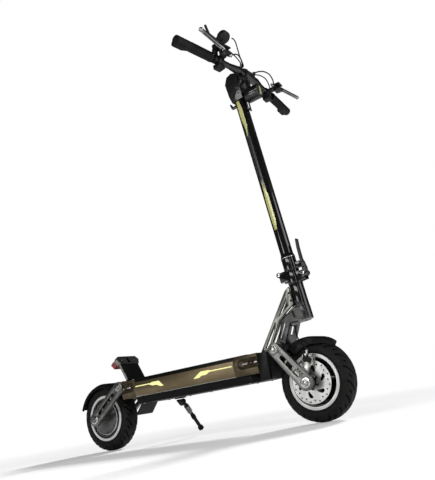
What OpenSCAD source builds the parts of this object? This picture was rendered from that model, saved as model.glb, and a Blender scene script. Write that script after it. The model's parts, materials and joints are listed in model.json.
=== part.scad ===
// Electric kick scooter with a folding stem, swing-arm suspension and a rear hub motor.
// Origin on the ground midway between the axles. +X forward, +Y to the rider's left, +Z up.

/* [Wheels] */
// Distance between the two axles
wheel_base = 956; // [800:1:1150]
// Outer radius of both tyres
tyre_r = 127.5; // [110:0.5:135]
// Width of both tyres
tyre_w = 70; // [60:1:76]
// Radius of the bead seat on both rims
seat_r = 80; // [70:0.5:84]
// Radius of the rim flanges
flange_r = 88; // [84:0.5:92]
// Width between the outer faces of the rim flanges
rim_w = 66; // [54:1:70]
// Radius of the brake disc
disc_r = 68; // [60:0.5:76]
// Middle plane of the brake disc, outward of the wheel's centre
disc_y = 47.5; // [45:0.5:52]

/* [Deck] */
// Height of the top of the grip mat above the ground
deck_z = 252; // [225:1:290]
// Overall width of the deck
deck_w = 190; // [160:1:220]
// Height of the deck's shaped side
side_h = 66; // [55:1:80]
// Length of the middle extrusion
deck_l = 462; // [380:1:600]
// Where the middle extrusion's centre lies
deck_mid = -9; // [-30:1:30]
// Wall of the extrusion
deck_wall = 4; // [3:0.5:6]
// Thickness of the grip mat
mat_t = 3; // [2:0.5:5]
// Depth of the battery tray below the shaped side
tray_h = 26; // [18:1:34]

/* [Suspension] */
// Front pivot, forward of the origin
pivot_fx = 385; // [370:1:400]
// Height of the front pivot
pivot_fz = 248; // [235:1:260]
// Rear pivot, forward of the origin
pivot_rx = -333; // [-345:1:-325]
// Height of the rear pivot
pivot_rz = 232; // [222:1:242]
// Inner face of the swing arms, outward of the middle plane
arm_in = 76; // [70:1:84]
// Thickness of the swing arms
arm_t = 14; // [10:1:18]
// Width of the swing arms
arm_w = 44; // [34:1:50]
// Width of the slot in the swing arms
slot_w = 14; // [8:1:18]
// Radius of the wheel axles
axle_r = 6; // [5:0.25:7]
// Radius of the pivot shafts
pivot_r = 9; // [7:0.5:11]
// Radius of the pivot housings
housing_r = 22; // [18:0.5:24]

/* [Steering and stem] */
// Where the steering axis passes the fork crown
head_x = 476; // [465:1:485]
// Height of the fork crown's middle
head_z = 350; // [340:1:365]
// Rake of the steering axis in degrees
rake = 6.5; // [4:0.5:9]
// Outer radius of the head tube
head_r = 24; // [22:0.5:28]
// Length of the head tube
head_l = 78; // [60:1:80]
// Radius of the steerer tube
steerer_r = 14.3; // [12:0.1:15]
// Outer radius of the stem tube
stem_r = 22; // [19:0.5:24]
// Where the stem's head starts, along the steering axis
stem_top = 846; // [740:1:900]
// Folded angle of the stem is set by this hinge, behind the axis
hinge_back = 44; // [42:1:50]
// Height of the fold hinge along the steering axis
hinge_s = 149; // [147:1:152]

/* [Handlebar] */
// Middle of the bar, forward of the origin
bar_x = 426; // [415:1:440]
// Height of the bar above the ground
bar_z = 1277; // [1270:1:1290]
// Half of the bar's length along its grips
bar_half = 370; // [330:1:400]
// Backward sweep in degrees
sweep = 6.8; // [4:0.2:9]
// Radius of the bar at its middle
bulge_r = 15.9; // [14:0.1:16]
// Radius of the bar at the grips
bar_r = 11.1; // [10:0.1:12]
// Length of the rubber grips
grip_l = 158; // [120:1:170]
// Radius of the headlight
lamp_r = 28; // [22:0.5:30]

/* [Hidden] */
$fn = 64;

// Clearances: fixed seats, running fits and gaps between moving bodies
seat_gap = 0.05;
run_gap = 0.05;
side_gap = 0.4;

// Places that follow from the driving dimensions
front_x = wheel_base / 2;
rear_x = -wheel_base / 2;
axle_z = tyre_r;
frame_z = deck_z - mat_t;
side_z = frame_z - side_h;
tray_z = side_z - tray_h;
side_curve_r = 90;
cap_r_x = deck_mid - deck_l / 2;
cap_f_x = deck_mid + deck_l / 2;
cap_r_l = 70;
cap_f_l = 96;
tray_w = deck_w - 30;
arm_out = arm_in + arm_t;
housing_half = arm_in - 16;
crown_h = 44;
crown_bottom = -22;
head_s = crown_bottom + crown_h + 1;
base_s = head_s + head_l + 1;
foot_s = hinge_s + 0.8;
bend_y = 60;
bar_l = (bar_half - bend_y) / cos(sweep);
grip_s = bar_l - grip_l;
colour_dark = [0.09, 0.09, 0.1];
colour_bronze = [0.42, 0.38, 0.3];
colour_grey = [0.6, 0.6, 0.58];
colour_silver = [0.8, 0.8, 0.8];
colour_rubber = [0.05, 0.05, 0.05];
colour_strip = [0.9, 0.92, 0.55];

// Turns what is drawn round Z so that it lies along Y, centred
module along_y() {
    rotate([90, 0, 0]) children();
}

// A round bar along Y from y0 to y1
module bar_y(x, z, r, y0, y1) {
    translate([x, y0, z]) rotate([-90, 0, 0]) cylinder(r = r, h = y1 - y0);
}

// A hollow round bar along Y from y0 to y1
module tube_y(x, z, r, bore, y0, y1) {
    difference() {
        bar_y(x, z, r, y0, y1);
        bar_y(x, z, bore, y0 - 1, y1 + 1);
    }
}

// The same shape on both sides of the middle plane
module both_sides() {
    children();
    mirror([0, 1, 0]) children();
}

// Places what is drawn on the steering axis, with the fork crown's middle at the origin
module on_steering() {
    translate([head_x, 0, head_z]) rotate([0, -rake, 0]) children();
}

// Places what is drawn on one half of the bar: x forward, y outward along the bar, z up
module on_bar(side) {
    translate([bar_x, 0, bar_z]) mirror([0, side < 0 ? 1 : 0, 0])
        translate([0, bend_y, 0]) rotate([0, 0, sweep]) children();
}

// A flat plate with round ends between two points of the XZ plane, from y0 to y1
module link(ax, az, bx, bz, ra, rb, y0, y1) {
    length = norm([bx - ax, bz - az]);
    turn = atan2(bz - az, bx - ax);
    translate([ax, y0, az]) rotate([0, -turn, 0]) {
        rotate([-90, 0, 0]) cylinder(r = ra, h = y1 - y0);
        translate([length, 0, 0]) rotate([-90, 0, 0]) cylinder(r = rb, h = y1 - y0);
        rotate([-90, 0, 0]) linear_extrude(y1 - y0)
            polygon([[0, -ra], [length, -rb], [length, rb], [0, ra]]);
    }
}

// A tube swept along hand-chosen points, as one closed mesh
function unit(v) = v / norm(v);
function run_dir(p, i) = unit(p[min(i + 1, len(p) - 1)] - p[max(i - 1, 0)]);
function side_dir(t) = unit(cross(t, abs(t[2]) > 0.9 ? [1, 0, 0] : [0, 0, 1]));
module cable(p, r) {
    sides = 8;
    rings = [for (i = [0:len(p) - 1])
        let (t = run_dir(p, i), u = side_dir(t), v = cross(t, u))
        for (k = [0:sides - 1]) p[i] + r * (cos(45 * k) * u + sin(45 * k) * v)];
    walls = [for (i = [0:len(p) - 2], k = [0:sides - 1])
        let (a = i * sides + k, b = i * sides + (k + 1) % sides)
        [a, b, b + sides, a + sides]];
    ends = [[for (k = [sides - 1:-1:0]) k], [for (k = [0:sides - 1]) (len(p) - 1) * sides + k]];
    polyhedron(points = rings, faces = concat([for (w = walls) [w[3], w[2], w[1], w[0]]],
        [for (e = ends) [for (k = [sides - 1:-1:0]) e[k]]]));
}

// ---- Deck ----

socket_x = deck_mid + 60;
socket_z = side_z + 16;
socket_r = 8;

// The deck's outer section, drawn from x0 to x1: flat top and bottom, gently bowed sides
module deck_solid(x0, x1) {
    intersection() {
        translate([x0, -deck_w / 2, side_z]) cube([x1 - x0, deck_w, side_h]);
        both_sides() translate([x0, deck_w / 2 - side_curve_r, side_z + side_h / 2])
            rotate([0, 90, 0]) cylinder(r = side_curve_r, h = x1 - x0, $fn = 128);
    }
}

module deck_frame() {
    color(colour_bronze) difference() {
        deck_solid(cap_r_x, cap_f_x);
        translate([cap_r_x - 1, 10 - deck_w / 2, side_z - 1])
            cube([deck_l + 2, deck_w - 20, side_h + 1 - deck_wall]);
        bar_y(socket_x, socket_z, socket_r + seat_gap, deck_w / 2 - 20, deck_w / 2 + 10);
    }
}

module deck_mat() {
    mat_x = cap_r_x - 18;
    color(colour_rubber) translate([mat_x, -deck_w / 2 + 14, frame_z])
        cube([cap_f_x + cap_f_l - 46 - mat_x, deck_w - 28, mat_t]);
}

module bottom_plate() {
    nose = 40;
    color(colour_dark) difference() {
        union() {
            translate([0, 0, tray_z]) linear_extrude(tray_h) polygon([
                [cap_r_x - 8, -tray_w / 2], [cap_f_x + cap_f_l - nose, -tray_w / 2],
                [cap_f_x + cap_f_l, -tray_w / 2 + nose], [cap_f_x + cap_f_l, tray_w / 2 - nose],
                [cap_f_x + cap_f_l - nose, tray_w / 2], [cap_r_x - 8, tray_w / 2],
            ]);
            translate([cap_r_x, -deck_w / 2 + 8, side_z - 3]) cube([deck_l + 40, deck_w - 16, 3]);
        }
        translate([cap_r_x, -tray_w / 2 + deck_wall, tray_z + deck_wall])
            cube([deck_l + 46, tray_w - 2 * deck_wall, tray_h]);
    }
}

// The scooped pocket that holds a marker lamp, opening towards the end of the deck
module lamp_pocket(x0, dir) {
    pocket_r = 19.5;
    both_sides() translate([x0, deck_w / 2 + 6, frame_z - 27]) {
        sphere(r = pocket_r);
        rotate([0, 90 * dir, 0]) cylinder(r = pocket_r, h = 120);
    }
}

module front_end_cap() {
    color(colour_bronze) difference() {
        deck_solid(cap_f_x, cap_f_x + cap_f_l);
        lamp_pocket(cap_f_x + 34, 1);
        translate([cap_f_x - 1, -deck_w / 2 + 22, side_z - 1])
            cube([62, deck_w - 44, side_h + 1 - 2 * deck_wall]);
    }
}

module rear_end_cap() {
    web_h = 34;
    color(colour_bronze) difference() {
        union() {
            deck_solid(cap_r_x - cap_r_l, cap_r_x);
            bar_y(pivot_rx, pivot_rz, housing_r, -housing_half, housing_half);
            translate([pivot_rx, -housing_half, pivot_rz - web_h / 2])
                cube([cap_r_x - cap_r_l - pivot_rx + 2, 2 * housing_half, web_h]);
        }
        lamp_pocket(cap_r_x - 22, -1);
        bar_y(pivot_rx, pivot_rz, pivot_r + run_gap, -housing_half - 1, housing_half + 1);
        translate([cap_r_x - 40, -deck_w / 2 + 22, side_z - 1])
            cube([41, deck_w - 44, side_h + 1 - 2 * deck_wall]);
    }
}

// The front block is scooped round the steering axis so that the wheel and arms can swing
module front_block() {
    swing_r = 160;
    block_x = cap_f_x + cap_f_l;
    color(colour_dark) difference() {
        translate([block_x, 6 - deck_w / 2, tray_z]) cube([38, deck_w - 12, frame_z - tray_z - 4]);
        on_steering() translate([0, 0, -260]) cylinder(r = swing_r, h = 260, $fn = 128);
    }
}

module deck_lights() {
    lamp_z = frame_z - 27;
    strip_l = 120;
    color(colour_strip) both_sides() {
        translate([cap_f_x + 36, deck_w / 2 - 6.5, lamp_z]) rotate([0, 90, 0]) cylinder(r = 6, h = 59);
        translate([cap_r_x - 63, deck_w / 2 - 6.5, lamp_z]) rotate([0, 90, 0]) cylinder(r = 6, h = 38);
        for (x = [cap_f_x + 72, cap_r_x - 44])
            bar_y(x, lamp_z, 3, deck_w / 2 - 13.2, deck_w / 2 - 8);
        difference() {
            for (x = [cap_r_x + 6, cap_f_x - 6 - strip_l])
                translate([x, deck_w / 2 - 2, frame_z - 30]) cube([strip_l, 3, 7]);
            translate([cap_r_x, deck_w / 2 - side_curve_r, side_z + side_h / 2]) rotate([0, 90, 0])
                cylinder(r = side_curve_r + seat_gap, h = deck_l, $fn = 128);
        }
    }
}

module battery_pack() {
    pack_l = 330;
    color("steelblue") translate([cap_r_x + 10, -62, tray_z + deck_wall])
        cube([pack_l, 124, frame_z - tray_z - 3 * deck_wall]);
}

module motor_controller() {
    color("silver") translate([cap_f_x - 110, -50, tray_z + deck_wall]) {
        cube([130, 100, 34]);
        for (i = [0:6]) translate([8, 4 + 14 * i, 34]) cube([114, 5, 8]);
    }
}

module deck_screws() {
    screw_r = 3.5;
    screw_x = [cap_r_x + 20, cap_r_x + 130, deck_mid, cap_f_x - 20, cap_f_x + 42];
    color(colour_silver) {
        both_sides() for (x = screw_x)
            translate([x, tray_w / 2 - 9, tray_z - 2]) cylinder(r = screw_r, h = 2);
        both_sides() for (x = [cap_r_x - 12, cap_f_x + 12])
            translate([x, deck_w / 2 - 10, frame_z]) cylinder(r = 2.8, h = 2);
    }
}

module charge_socket() {
    color(colour_dark) tube_y(socket_x, socket_z, socket_r, 5.5, deck_w / 2 - 14, deck_w / 2 + 2);
}

module splash_guard() {
    guard_l = 58;
    color(colour_rubber) translate([cap_r_x - 14, -44, tray_z + 4]) rotate([0, 42, 0])
        translate([-4, 0, -guard_l]) cube([4, 88, guard_l - 4]);
    color(colour_rubber) translate([cap_r_x - 24, -44, tray_z + 3]) cube([16, 88, side_z - tray_z - 3]);
}

// ---- Kick plate ----

kick_lean = 27;
kick_x = cap_r_x - cap_r_l - 2;
plate_l = 112;
panel_l = 36;

module on_kick_plate() {
    translate([kick_x, 0, frame_z + 4]) rotate([0, -kick_lean, 0]) children();
}

module kick_plate() {
    color(colour_dark) {
        translate([kick_x - 6, -48, frame_z]) cube([38, 96, 4]);
        on_kick_plate() difference() {
            union() {
                translate([-10, -50, 4]) cube([10, 100, plate_l - panel_l - 2]);
                translate([-14, 0, plate_l]) rotate([0, 90, 0]) linear_extrude(18) polygon([
                    [0, -48], [14, -62], [panel_l, -52], [panel_l, 52], [14, 62], [0, 48],
                ]);
            }
            translate([-6, -7, plate_l - panel_l + 6]) cube([20, 14, panel_l - 12]);
        }
    }
}

module tail_lamp() {
    color("red") on_kick_plate() translate([-38, 0, plate_l - 3]) rotate([0, 90, 0])
        linear_extrude(23.95) polygon([
            [0, -47], [11, -60], [30, -51], [30, 51], [11, 60], [0, 47],
        ]);
}

// ---- Neck and head tube ----

plate_in = 14;
plate_out = 24;

// Point of the XZ plane at x ahead of the steering axis and s along it
function on_axis(x, s) = [head_x + x * cos(rake) - s * sin(rake), head_z + x * sin(rake) + s * cos(rake)];

module neck() {
    foot_x = 300;
    tube_back = -sqrt(pow(head_r, 2) - pow(plate_in, 2)) - 0.3;
    color(colour_grey) both_sides()
        translate([0, plate_out, 0]) rotate([90, 0, 0]) linear_extrude(plate_out - plate_in)
            difference() {
                polygon([
                    [foot_x - 6, frame_z], [foot_x + 38, frame_z], [foot_x + 46, frame_z + 24],
                    [foot_x + 66, frame_z + 56], [foot_x + 84, frame_z + 92], on_axis(-30, head_s + 10),
                    on_axis(tube_back, head_s + 16), on_axis(tube_back, head_s + 76),
                    on_axis(-38, head_s + 66),
                ]);
                polygon([
                    [foot_x + 16, frame_z + 13], [foot_x + 32, frame_z + 13], [foot_x + 38, frame_z + 27],
                    [foot_x + 59, frame_z + 60], [foot_x + 71, frame_z + 85], [foot_x + 71, frame_z + 92],
                ]);
                polygon([
                    [foot_x + 86, frame_z + 105], [foot_x + 132, frame_z + 136], [foot_x + 128, frame_z + 163],
                ]);
            }
}

module head_tube() {
    bearing_h = 9;
    color(colour_dark) on_steering() difference() {
        union() {
            translate([0, 0, head_s]) cylinder(r = head_r, h = head_l);
            translate([-33, seat_gap - plate_in, head_s + 10]) cube([33, 2 * (plate_in - seat_gap), 38]);
        }
        translate([0, 0, head_s - 1]) cylinder(r = steerer_r + 2, h = head_l + 2);
        for (s = [head_s - 1, head_s + head_l - bearing_h])
            translate([0, 0, s]) cylinder(r = head_r - 3, h = bearing_h + 1);
    }
}

module head_bearings() {
    bearing_h = 8;
    color(colour_silver) on_steering() for (s = [head_s + 0.5, head_s + head_l - bearing_h - 0.5])
        translate([0, 0, s]) difference() {
            cylinder(r = head_r - 3 - seat_gap, h = bearing_h);
            translate([0, 0, -1]) cylinder(r = steerer_r + run_gap, h = bearing_h + 2);
        }
}

harness_route = [
    [298, 0, 249.6], [299, 0, 262], [306, 0, 274], [324, 0, 296], [346, 0, 324], [368, 0, 352],
    [390, 0, 380], [408, 0, 402], [424, 0, 420], [438, 0, 432],
];
module harness_cable() {
    color(colour_rubber) cable(harness_route, 4);
}

// ---- Fork ----

module steerer() {
    wall = 2.5;
    color(colour_silver) on_steering() difference() {
        translate([0, 0, crown_bottom + 6]) cylinder(r = steerer_r, h = hinge_s - 6 - crown_bottom - 4);
        translate([0, 0, crown_bottom + 5]) cylinder(r = steerer_r - wall, h = hinge_s - crown_bottom);
    }
}

module fork_frame() {
    beam_half = 38;
    crown_back = 30;
    color(colour_dark) difference() {
        union() {
            on_steering() translate([0, 0, crown_bottom]) {
                cylinder(r = head_r + 1, h = crown_h);
                translate([-crown_back, -head_r - 1, 0]) cube([crown_back, 2 * head_r + 2, crown_h]);
            }
            translate([0, beam_half, 0]) rotate([90, 0, 0]) linear_extrude(2 * beam_half) polygon([
                [pivot_fx - 14, pivot_fz + 12], [pivot_fx + 17, pivot_fz + 12],
                [head_x - 42, head_z - 24], [head_x + 2, head_z - 22], [head_x - 24, head_z - 10],
                [head_x - 28, head_z + 14], [head_x - 66, head_z - 2],
            ]);
            bar_y(pivot_fx, pivot_fz, housing_r, -housing_half, housing_half);
        }
        on_steering() translate([0, 0, crown_bottom + 6 - seat_gap])
            cylinder(r = steerer_r + seat_gap, h = crown_h);
        bar_y(pivot_fx, pivot_fz, pivot_r + run_gap, -housing_half - 1, housing_half + 1);
        // Hollow of the beam, open to the rear and through the front window
        translate([0, beam_half - 7, 0]) rotate([90, 0, 0]) linear_extrude(2 * beam_half - 14) polygon([
            [pivot_fx - 40, pivot_fz + 26], [pivot_fx + 12, pivot_fz + 26],
            [head_x - 54, head_z - 22], [head_x - 58, head_z - 6], [head_x - 96, head_z - 6],
        ]);
        translate([pivot_fx + 20, -17, pivot_fz + 44]) rotate([0, 23, 0]) cube([40, 34, 36], center = false);
        // Side windows
        translate([0, beam_half + 1, 0]) rotate([90, 0, 0]) linear_extrude(2 * beam_half + 2) polygon([
            [pivot_fx - 3, pivot_fz + 34], [pivot_fx + 7, pivot_fz + 34],
            [head_x - 60, head_z - 26], [head_x - 62, head_z - 12], [head_x - 70, head_z - 18],
        ]);
    }
}

// ---- Fold joint ----

knuckle_r = 9;
ear_in = 8;
ear_out = 20;
pin_r = 4;
latch_x = 46;
latch_s = hinge_s - 23;
latch_half = 9;

module fold_base() {
    base_h = hinge_s - 1 - base_s;
    color(colour_dark) on_steering() difference() {
        union() {
            translate([0, 0, base_s]) cylinder(r = head_r + 1, h = base_h);
            both_sides() {
                bar_y(-hinge_back, hinge_s, knuckle_r, ear_in, ear_out);
                translate([-hinge_back, ear_in, base_s + 18])
                    cube([hinge_back - 12, ear_out - ear_in, base_h - 18]);
                translate([0, latch_half + side_gap, base_s + 4]) cube([latch_x, 6, base_h - 14]);
                bar_y(latch_x, latch_s, 10, latch_half + side_gap, latch_half + side_gap + 6);
            }
        }
        translate([0, 0, base_s - 1]) cylinder(r = steerer_r + seat_gap, h = base_h + 2);
        bar_y(-hinge_back, hinge_s, pin_r + run_gap, -ear_out - 1, ear_out + 1);
        bar_y(latch_x, latch_s, pin_r + run_gap, -20, 20);
    }
}

module hinge_pin() {
    color(colour_silver) on_steering() {
        bar_y(-hinge_back, hinge_s, pin_r, -ear_out - 1, ear_out + 1);
        both_sides() bar_y(-hinge_back, hinge_s, pin_r + 2.5, ear_out + 0.05, ear_out + 3);
        bar_y(latch_x, latch_s, pin_r, -17, 17);
    }
}

module latch_lever() {
    blade_s = hinge_s + 100;
    color(colour_grey) on_steering() difference() {
        union() {
            bar_y(latch_x, latch_s, 9, -latch_half, latch_half);
            translate([0, latch_half, 0]) rotate([90, 0, 0]) linear_extrude(2 * latch_half) polygon([
                [latch_x - 5, latch_s], [latch_x + 9, latch_s], [latch_x + 10, latch_s + 20],
                [latch_x + 4, latch_s + 52], [latch_x + 5, blade_s - 30], [latch_x + 8, blade_s],
                [latch_x + 3, blade_s], [latch_x - 1, blade_s - 32], [latch_x - 3, latch_s + 46],
            ]);
        }
        bar_y(latch_x, latch_s, pin_r + run_gap, -20, 20);
    }
}

module stem_tube() {
    foot_h = 52;
    bore_r = stem_r - 2.5;
    color(colour_dark) on_steering() difference() {
        union() {
            translate([0, 0, foot_s]) cylinder(r = head_r + 1, h = foot_h);
            translate([0, 0, foot_s + foot_h - 1]) cylinder(r1 = head_r + 1, r2 = stem_r, h = 12);
            translate([0, 0, foot_s]) cylinder(r = stem_r, h = stem_top - foot_s);
            bar_y(-hinge_back, hinge_s, knuckle_r, side_gap - ear_in, ear_in - side_gap);
            translate([-hinge_back, side_gap - ear_in, foot_s])
                cube([hinge_back - 14, 2 * (ear_in - side_gap), knuckle_r - 0.8]);
            translate([12, -7, foot_s + 2]) cube([latch_x - 19, 14, 22]);
        }
        bar_y(-hinge_back, hinge_s, pin_r + run_gap, -ear_out - 1, ear_out + 1);
        translate([0, 0, foot_s - 1]) cylinder(r = bore_r, h = stem_top);
    }
}

module stem_strips() {
    strip_t = 1;
    color(colour_strip) on_steering() intersection() {
        difference() {
            translate([0, 0, 300]) cylinder(r = stem_r + strip_t, h = stem_top - 320);
            translate([0, 0, 299]) cylinder(r = stem_r + 0.05, h = stem_top);
        }
        both_sides() for (s = [310, stem_top - 200])
            translate([-8, 10, s]) cube([12, 30, 170]);
    }
}

// ---- Stem head and bar ----

clamp_r = 22;
clamp_half = 26;

module stem_head() {
    head_half = 24;
    color(colour_dark) difference() {
        union() {
            on_steering() translate([0, head_half, 0]) rotate([90, 0, 0]) linear_extrude(2 * head_half)
                polygon([
                    [-24, stem_top - 4], [24, stem_top - 4], [26, stem_top + 50], [40, stem_top + 62],
                    [40, stem_top + 98], [4, stem_top + 116], [-18, stem_top + 110],
                    [-33, stem_top + 84], [-30, stem_top + 24],
                ]);
            bar_y(bar_x, bar_z, clamp_r, -clamp_half, clamp_half);
            // Hook that hangs the folded stem, open towards the top
            on_steering() translate([0, 5, 0]) rotate([90, 0, 0]) linear_extrude(10) polygon([
                [-23, stem_top + 6], [-24, stem_top - 6], [-38, stem_top - 6], [-42, stem_top + 9],
                [-47, stem_top + 8], [-43, stem_top - 13], [-23, stem_top - 16],
            ]);
            // Bag loop in front of the stem
            on_steering() difference() {
                translate([25, -12, stem_top - 56]) cube([4, 24, 66]);
                translate([24, -7, stem_top - 48]) cube([6, 14, 44]);
            }
        }
        bar_y(bar_x, bar_z, bulge_r + seat_gap, -clamp_half - 1, clamp_half + 1);
        on_steering() translate([0, 0, stem_top - 60]) cylinder(r = stem_r + seat_gap, h = 60);
    }
}

module handlebar() {
    bore_r = bar_r - 2.2;
    color(colour_dark) {
        bar_y(bar_x, bar_z, bulge_r, -bend_y, bend_y);
        for (side = [-1, 1]) on_bar(side) {
            sphere(r = bulge_r);
            rotate([-90, 0, 0]) cylinder(r1 = bulge_r, r2 = bar_r, h = 46);
            difference() {
                rotate([-90, 0, 0]) cylinder(r = bar_r, h = bar_l - 2);
                translate([0, 60, 0]) rotate([-90, 0, 0]) cylinder(r = bore_r, h = bar_l);
            }
        }
    }
}

module grips() {
    grip_r = 17;
    color(colour_rubber) for (side = [-1, 1]) on_bar(side) difference() {
        union() {
            translate([0, grip_s, 0]) rotate([-90, 0, 0]) cylinder(r = grip_r, h = grip_l + 3);
            hull() {
                translate([-1, grip_s + grip_l - 60, 0]) rotate([-90, 0, 0]) cylinder(r = 16, h = 58, $fn = 32);
                translate([-16, grip_s + grip_l - 40, -2]) rotate([-90, 0, 0]) cylinder(r = 11, h = 38, $fn = 32);
            }
            translate([0, grip_s - 10, 0]) rotate([-90, 0, 0]) cylinder(r = grip_r + 1, h = 9.9);
        }
        rotate([-90, 0, 0]) cylinder(r = bar_r + seat_gap, h = bar_l - 2 + seat_gap);
    }
}

// Brake lever geometry on one half of the bar
perch_s = 100;
lever_x = 50;
lever_s = 136;
lever_z = 13;
ball_x = 74;
ball_s = 265;
ball_z = 20;
lever_t = 8;

module brake_perches() {
    color(colour_dark) for (side = [-1, 1]) on_bar(side) difference() {
        union() {
            translate([0, perch_s, 0]) rotate([-90, 0, 0]) cylinder(r = bar_r + 5, h = 16);
            translate([6, perch_s, -2]) cube([lever_x - 22, 16, 14]);
            translate([lever_x - 18, lever_s - 30, lever_z - 17]) cube([10, 30, 28]);
            translate([lever_x - 9, lever_s - 34, lever_z + 6]) cube([20, 36, 5]);
            translate([lever_x - 9, lever_s - 34, lever_z - 17]) cube([20, 36, 5]);
            translate([lever_x - 13, lever_s - 48, lever_z - 3]) rotate([-90, 0, 0]) cylinder(r = 5, h = 20);
        }
        translate([0, perch_s - 1, 0]) rotate([-90, 0, 0]) cylinder(r = bar_r + seat_gap, h = 18);
        translate([lever_x, lever_s - 6, lever_z - 20]) cylinder(r = 3 + run_gap, h = 40);
    }
}

// The lever is a slotted blade that ends in a ball
module brake_lever() {
    blade_l = norm([ball_x - lever_x, ball_s - lever_s + 6]);
    turn = atan2(ball_x - lever_x, ball_s - lever_s + 6);
    color(colour_silver) translate([lever_x, lever_s - 6, lever_z - 3]) {
        cylinder(r = 3, h = 30, center = true);
        difference() {
            union() {
                cylinder(r = 7, h = 2 * lever_t, center = true);
                rotate([0, 0, -turn]) rotate([3, 0, 0]) translate([-6, 0, -lever_t / 2]) cube([12, blade_l, lever_t]);
            }
            rotate([0, 0, -turn]) rotate([3, 0, 0]) translate([-2.2, 26, -20]) cube([4.4, blade_l - 40, 40]);
        }
        rotate([0, 0, -turn]) rotate([3, 0, 0]) translate([0, blade_l, 0]) sphere(r = 8);
    }
}

module brake_lever_right() {
    on_bar(-1) brake_lever();
}

module brake_lever_left() {
    on_bar(1) brake_lever();
}

// Finger throttle with a round display, on the right half of the bar
display_r = 23;
ring_s = 122;
trigger_x = 47;
trigger_s = 150.5;
trigger_z = 36;
trigger_h = 10;
trigger_pin_r = 3;

module throttle_body() {
    color(colour_dark) on_bar(-1) difference() {
        union() {
            translate([0, ring_s, 0]) rotate([-90, 0, 0]) cylinder(r = bar_r + 5, h = 14);
            translate([2, ring_s, 4]) cube([14, 14, 30]);
            translate([8, ring_s - 6, trigger_z - 10]) cube([34, 24, 20]);
            translate([50, ring_s - 3, 65]) rotate([0, -35, 0]) cylinder(r = display_r, h = 16, center = true);
            for (s = [-1, 1]) translate([trigger_x - 9, ring_s + 10, trigger_z - 2.3 + s * 7.7])
                cube([18, trigger_s - ring_s, 4.6]);
            translate([trigger_x, trigger_s, trigger_z]) cylinder(r = trigger_pin_r, h = 20, center = true);
        }
        translate([0, ring_s - 1, 0]) rotate([-90, 0, 0]) cylinder(r = bar_r + seat_gap, h = 16);
    }
}

module throttle_trigger() {
    color(colour_dark) on_bar(-1) translate([trigger_x, trigger_s, trigger_z]) difference() {
        union() {
            cylinder(r = 8, h = trigger_h, center = true);
            rotate([0, 0, -8]) translate([-4, 0, -5]) cube([7, 58, trigger_h]);
            rotate([0, 0, -8]) translate([-4, 53, -5]) rotate([36, 0, -14]) cube([7, 38, trigger_h]);
        }
        cylinder(r = trigger_pin_r + run_gap, h = 30, center = true);
    }
}

pod_s = 88;
pod_z = -25;

module switch_pods() {
    for (side = [-1, 1]) on_bar(side) color(colour_dark) difference() {
        union() {
            translate([0, pod_s, 0]) rotate([-90, 0, 0]) cylinder(r = bar_r + 4, h = 10);
            translate([-8, pod_s, pod_z - 4]) cube([16, 10, 20]);
            translate([-16, pod_s + 2, pod_z - 8]) cube([28, 32, 16]);
        }
        translate([0, pod_s - 12, 0]) rotate([-90, 0, 0]) cylinder(r = bar_r + seat_gap, h = 40);
        translate([-18, pod_s + 20, pod_z]) rotate([0, 90, 0]) cylinder(r = 5.3, h = 8.5);
    }
}

// A push button in the rear face of a pod
module pod_button() {
    translate([-18, pod_s + 20, pod_z]) rotate([0, 90, 0]) cylinder(r = 5, h = 6);
}

module horn_button() {
    color("red") on_bar(1) pod_button();
}

module light_button() {
    color("green") on_bar(-1) pod_button();
}

lamp_x = 414;
lamp_l = 56;
lamp_z = bar_z - 80;

module headlight_body() {
    wall = 3;
    color(colour_dark) {
        difference() {
            translate([lamp_x, 0, lamp_z]) rotate([0, 90, 0]) cylinder(r = lamp_r, h = lamp_l);
            translate([lamp_x + wall, 0, lamp_z]) rotate([0, 90, 0]) cylinder(r = lamp_r - wall, h = lamp_l);
        }
        translate([bar_x - 6, -8, lamp_z + lamp_r - 2])
            cube([12, 16, bar_z - lamp_z - lamp_r - clamp_r + 2 - seat_gap]);
    }
}

module headlight_lens() {
    color(colour_strip) translate([lamp_x + lamp_l - 6, 0, lamp_z]) rotate([0, 90, 0])
        cylinder(r = lamp_r - 3 - seat_gap, h = 8);
}

// Hand-laid routes of the cables on the bar, which all meet at the clip by the stem head
display_route = [
    [480, -158, 1340], [478, -140, 1344], [470, -116, 1343], [459, -92, 1336], [450, -70, 1325],
    [444, -52, 1312], [438, -42, 1303], [428, -38, 1298], [414, -36, 1296], [403, -34, 1286],
    [396, -32, 1276], [394, -29, 1270], [394, -24.1, 1269],
];
right_brake_route = [
    [462, -145, 1286], [466, -130, 1294], [465, -110, 1302], [459, -88, 1306], [452, -66, 1305],
    [445, -48, 1301], [437, -34, 1299.5], [426, -30.5, 1298.5], [413, -30, 1294], [404, -30, 1284],
    [401, -29, 1279], [401, -24.1, 1278],
];
throttle_route = [
    [440, -171, 1313], [441, -158, 1319], [442, -140, 1321], [444, -118, 1318], [445, -96, 1313],
    [443, -74, 1309], [440, -56, 1305], [432, -46, 1300], [420, -42, 1297], [408, -39, 1289],
    [399, -36, 1276], [393, -32, 1264], [392, -29, 1261], [392, -24.1, 1260],
];
left_brake_route = [
    [462, 145, 1286], [468, 130, 1298], [468, 110, 1312], [460, 88, 1319], [451, 66, 1315],
    [444, 48, 1307], [436, 35, 1301], [425, 30.5, 1299], [412, 30, 1294], [404, 30, 1284],
    [401, 29, 1279], [401, 24.1, 1278],
];
left_switch_route = [
    [431, 153, 1250], [441, 144, 1260], [450, 126, 1278], [452, 104, 1296], [447, 80, 1303],
    [441, 60, 1302], [432, 44, 1299], [419, 38, 1297], [406, 36, 1287], [397, 34, 1275],
    [394, 30, 1268], [394, 24.4, 1268],
];

module bar_cables() {
    color(colour_rubber) {
        cable(display_route, 2.2);
        cable(right_brake_route, 2.5);
        cable(throttle_route, 2.2);
        cable(left_brake_route, 2.5);
        cable(left_switch_route, 2.2);
    }
}

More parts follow.
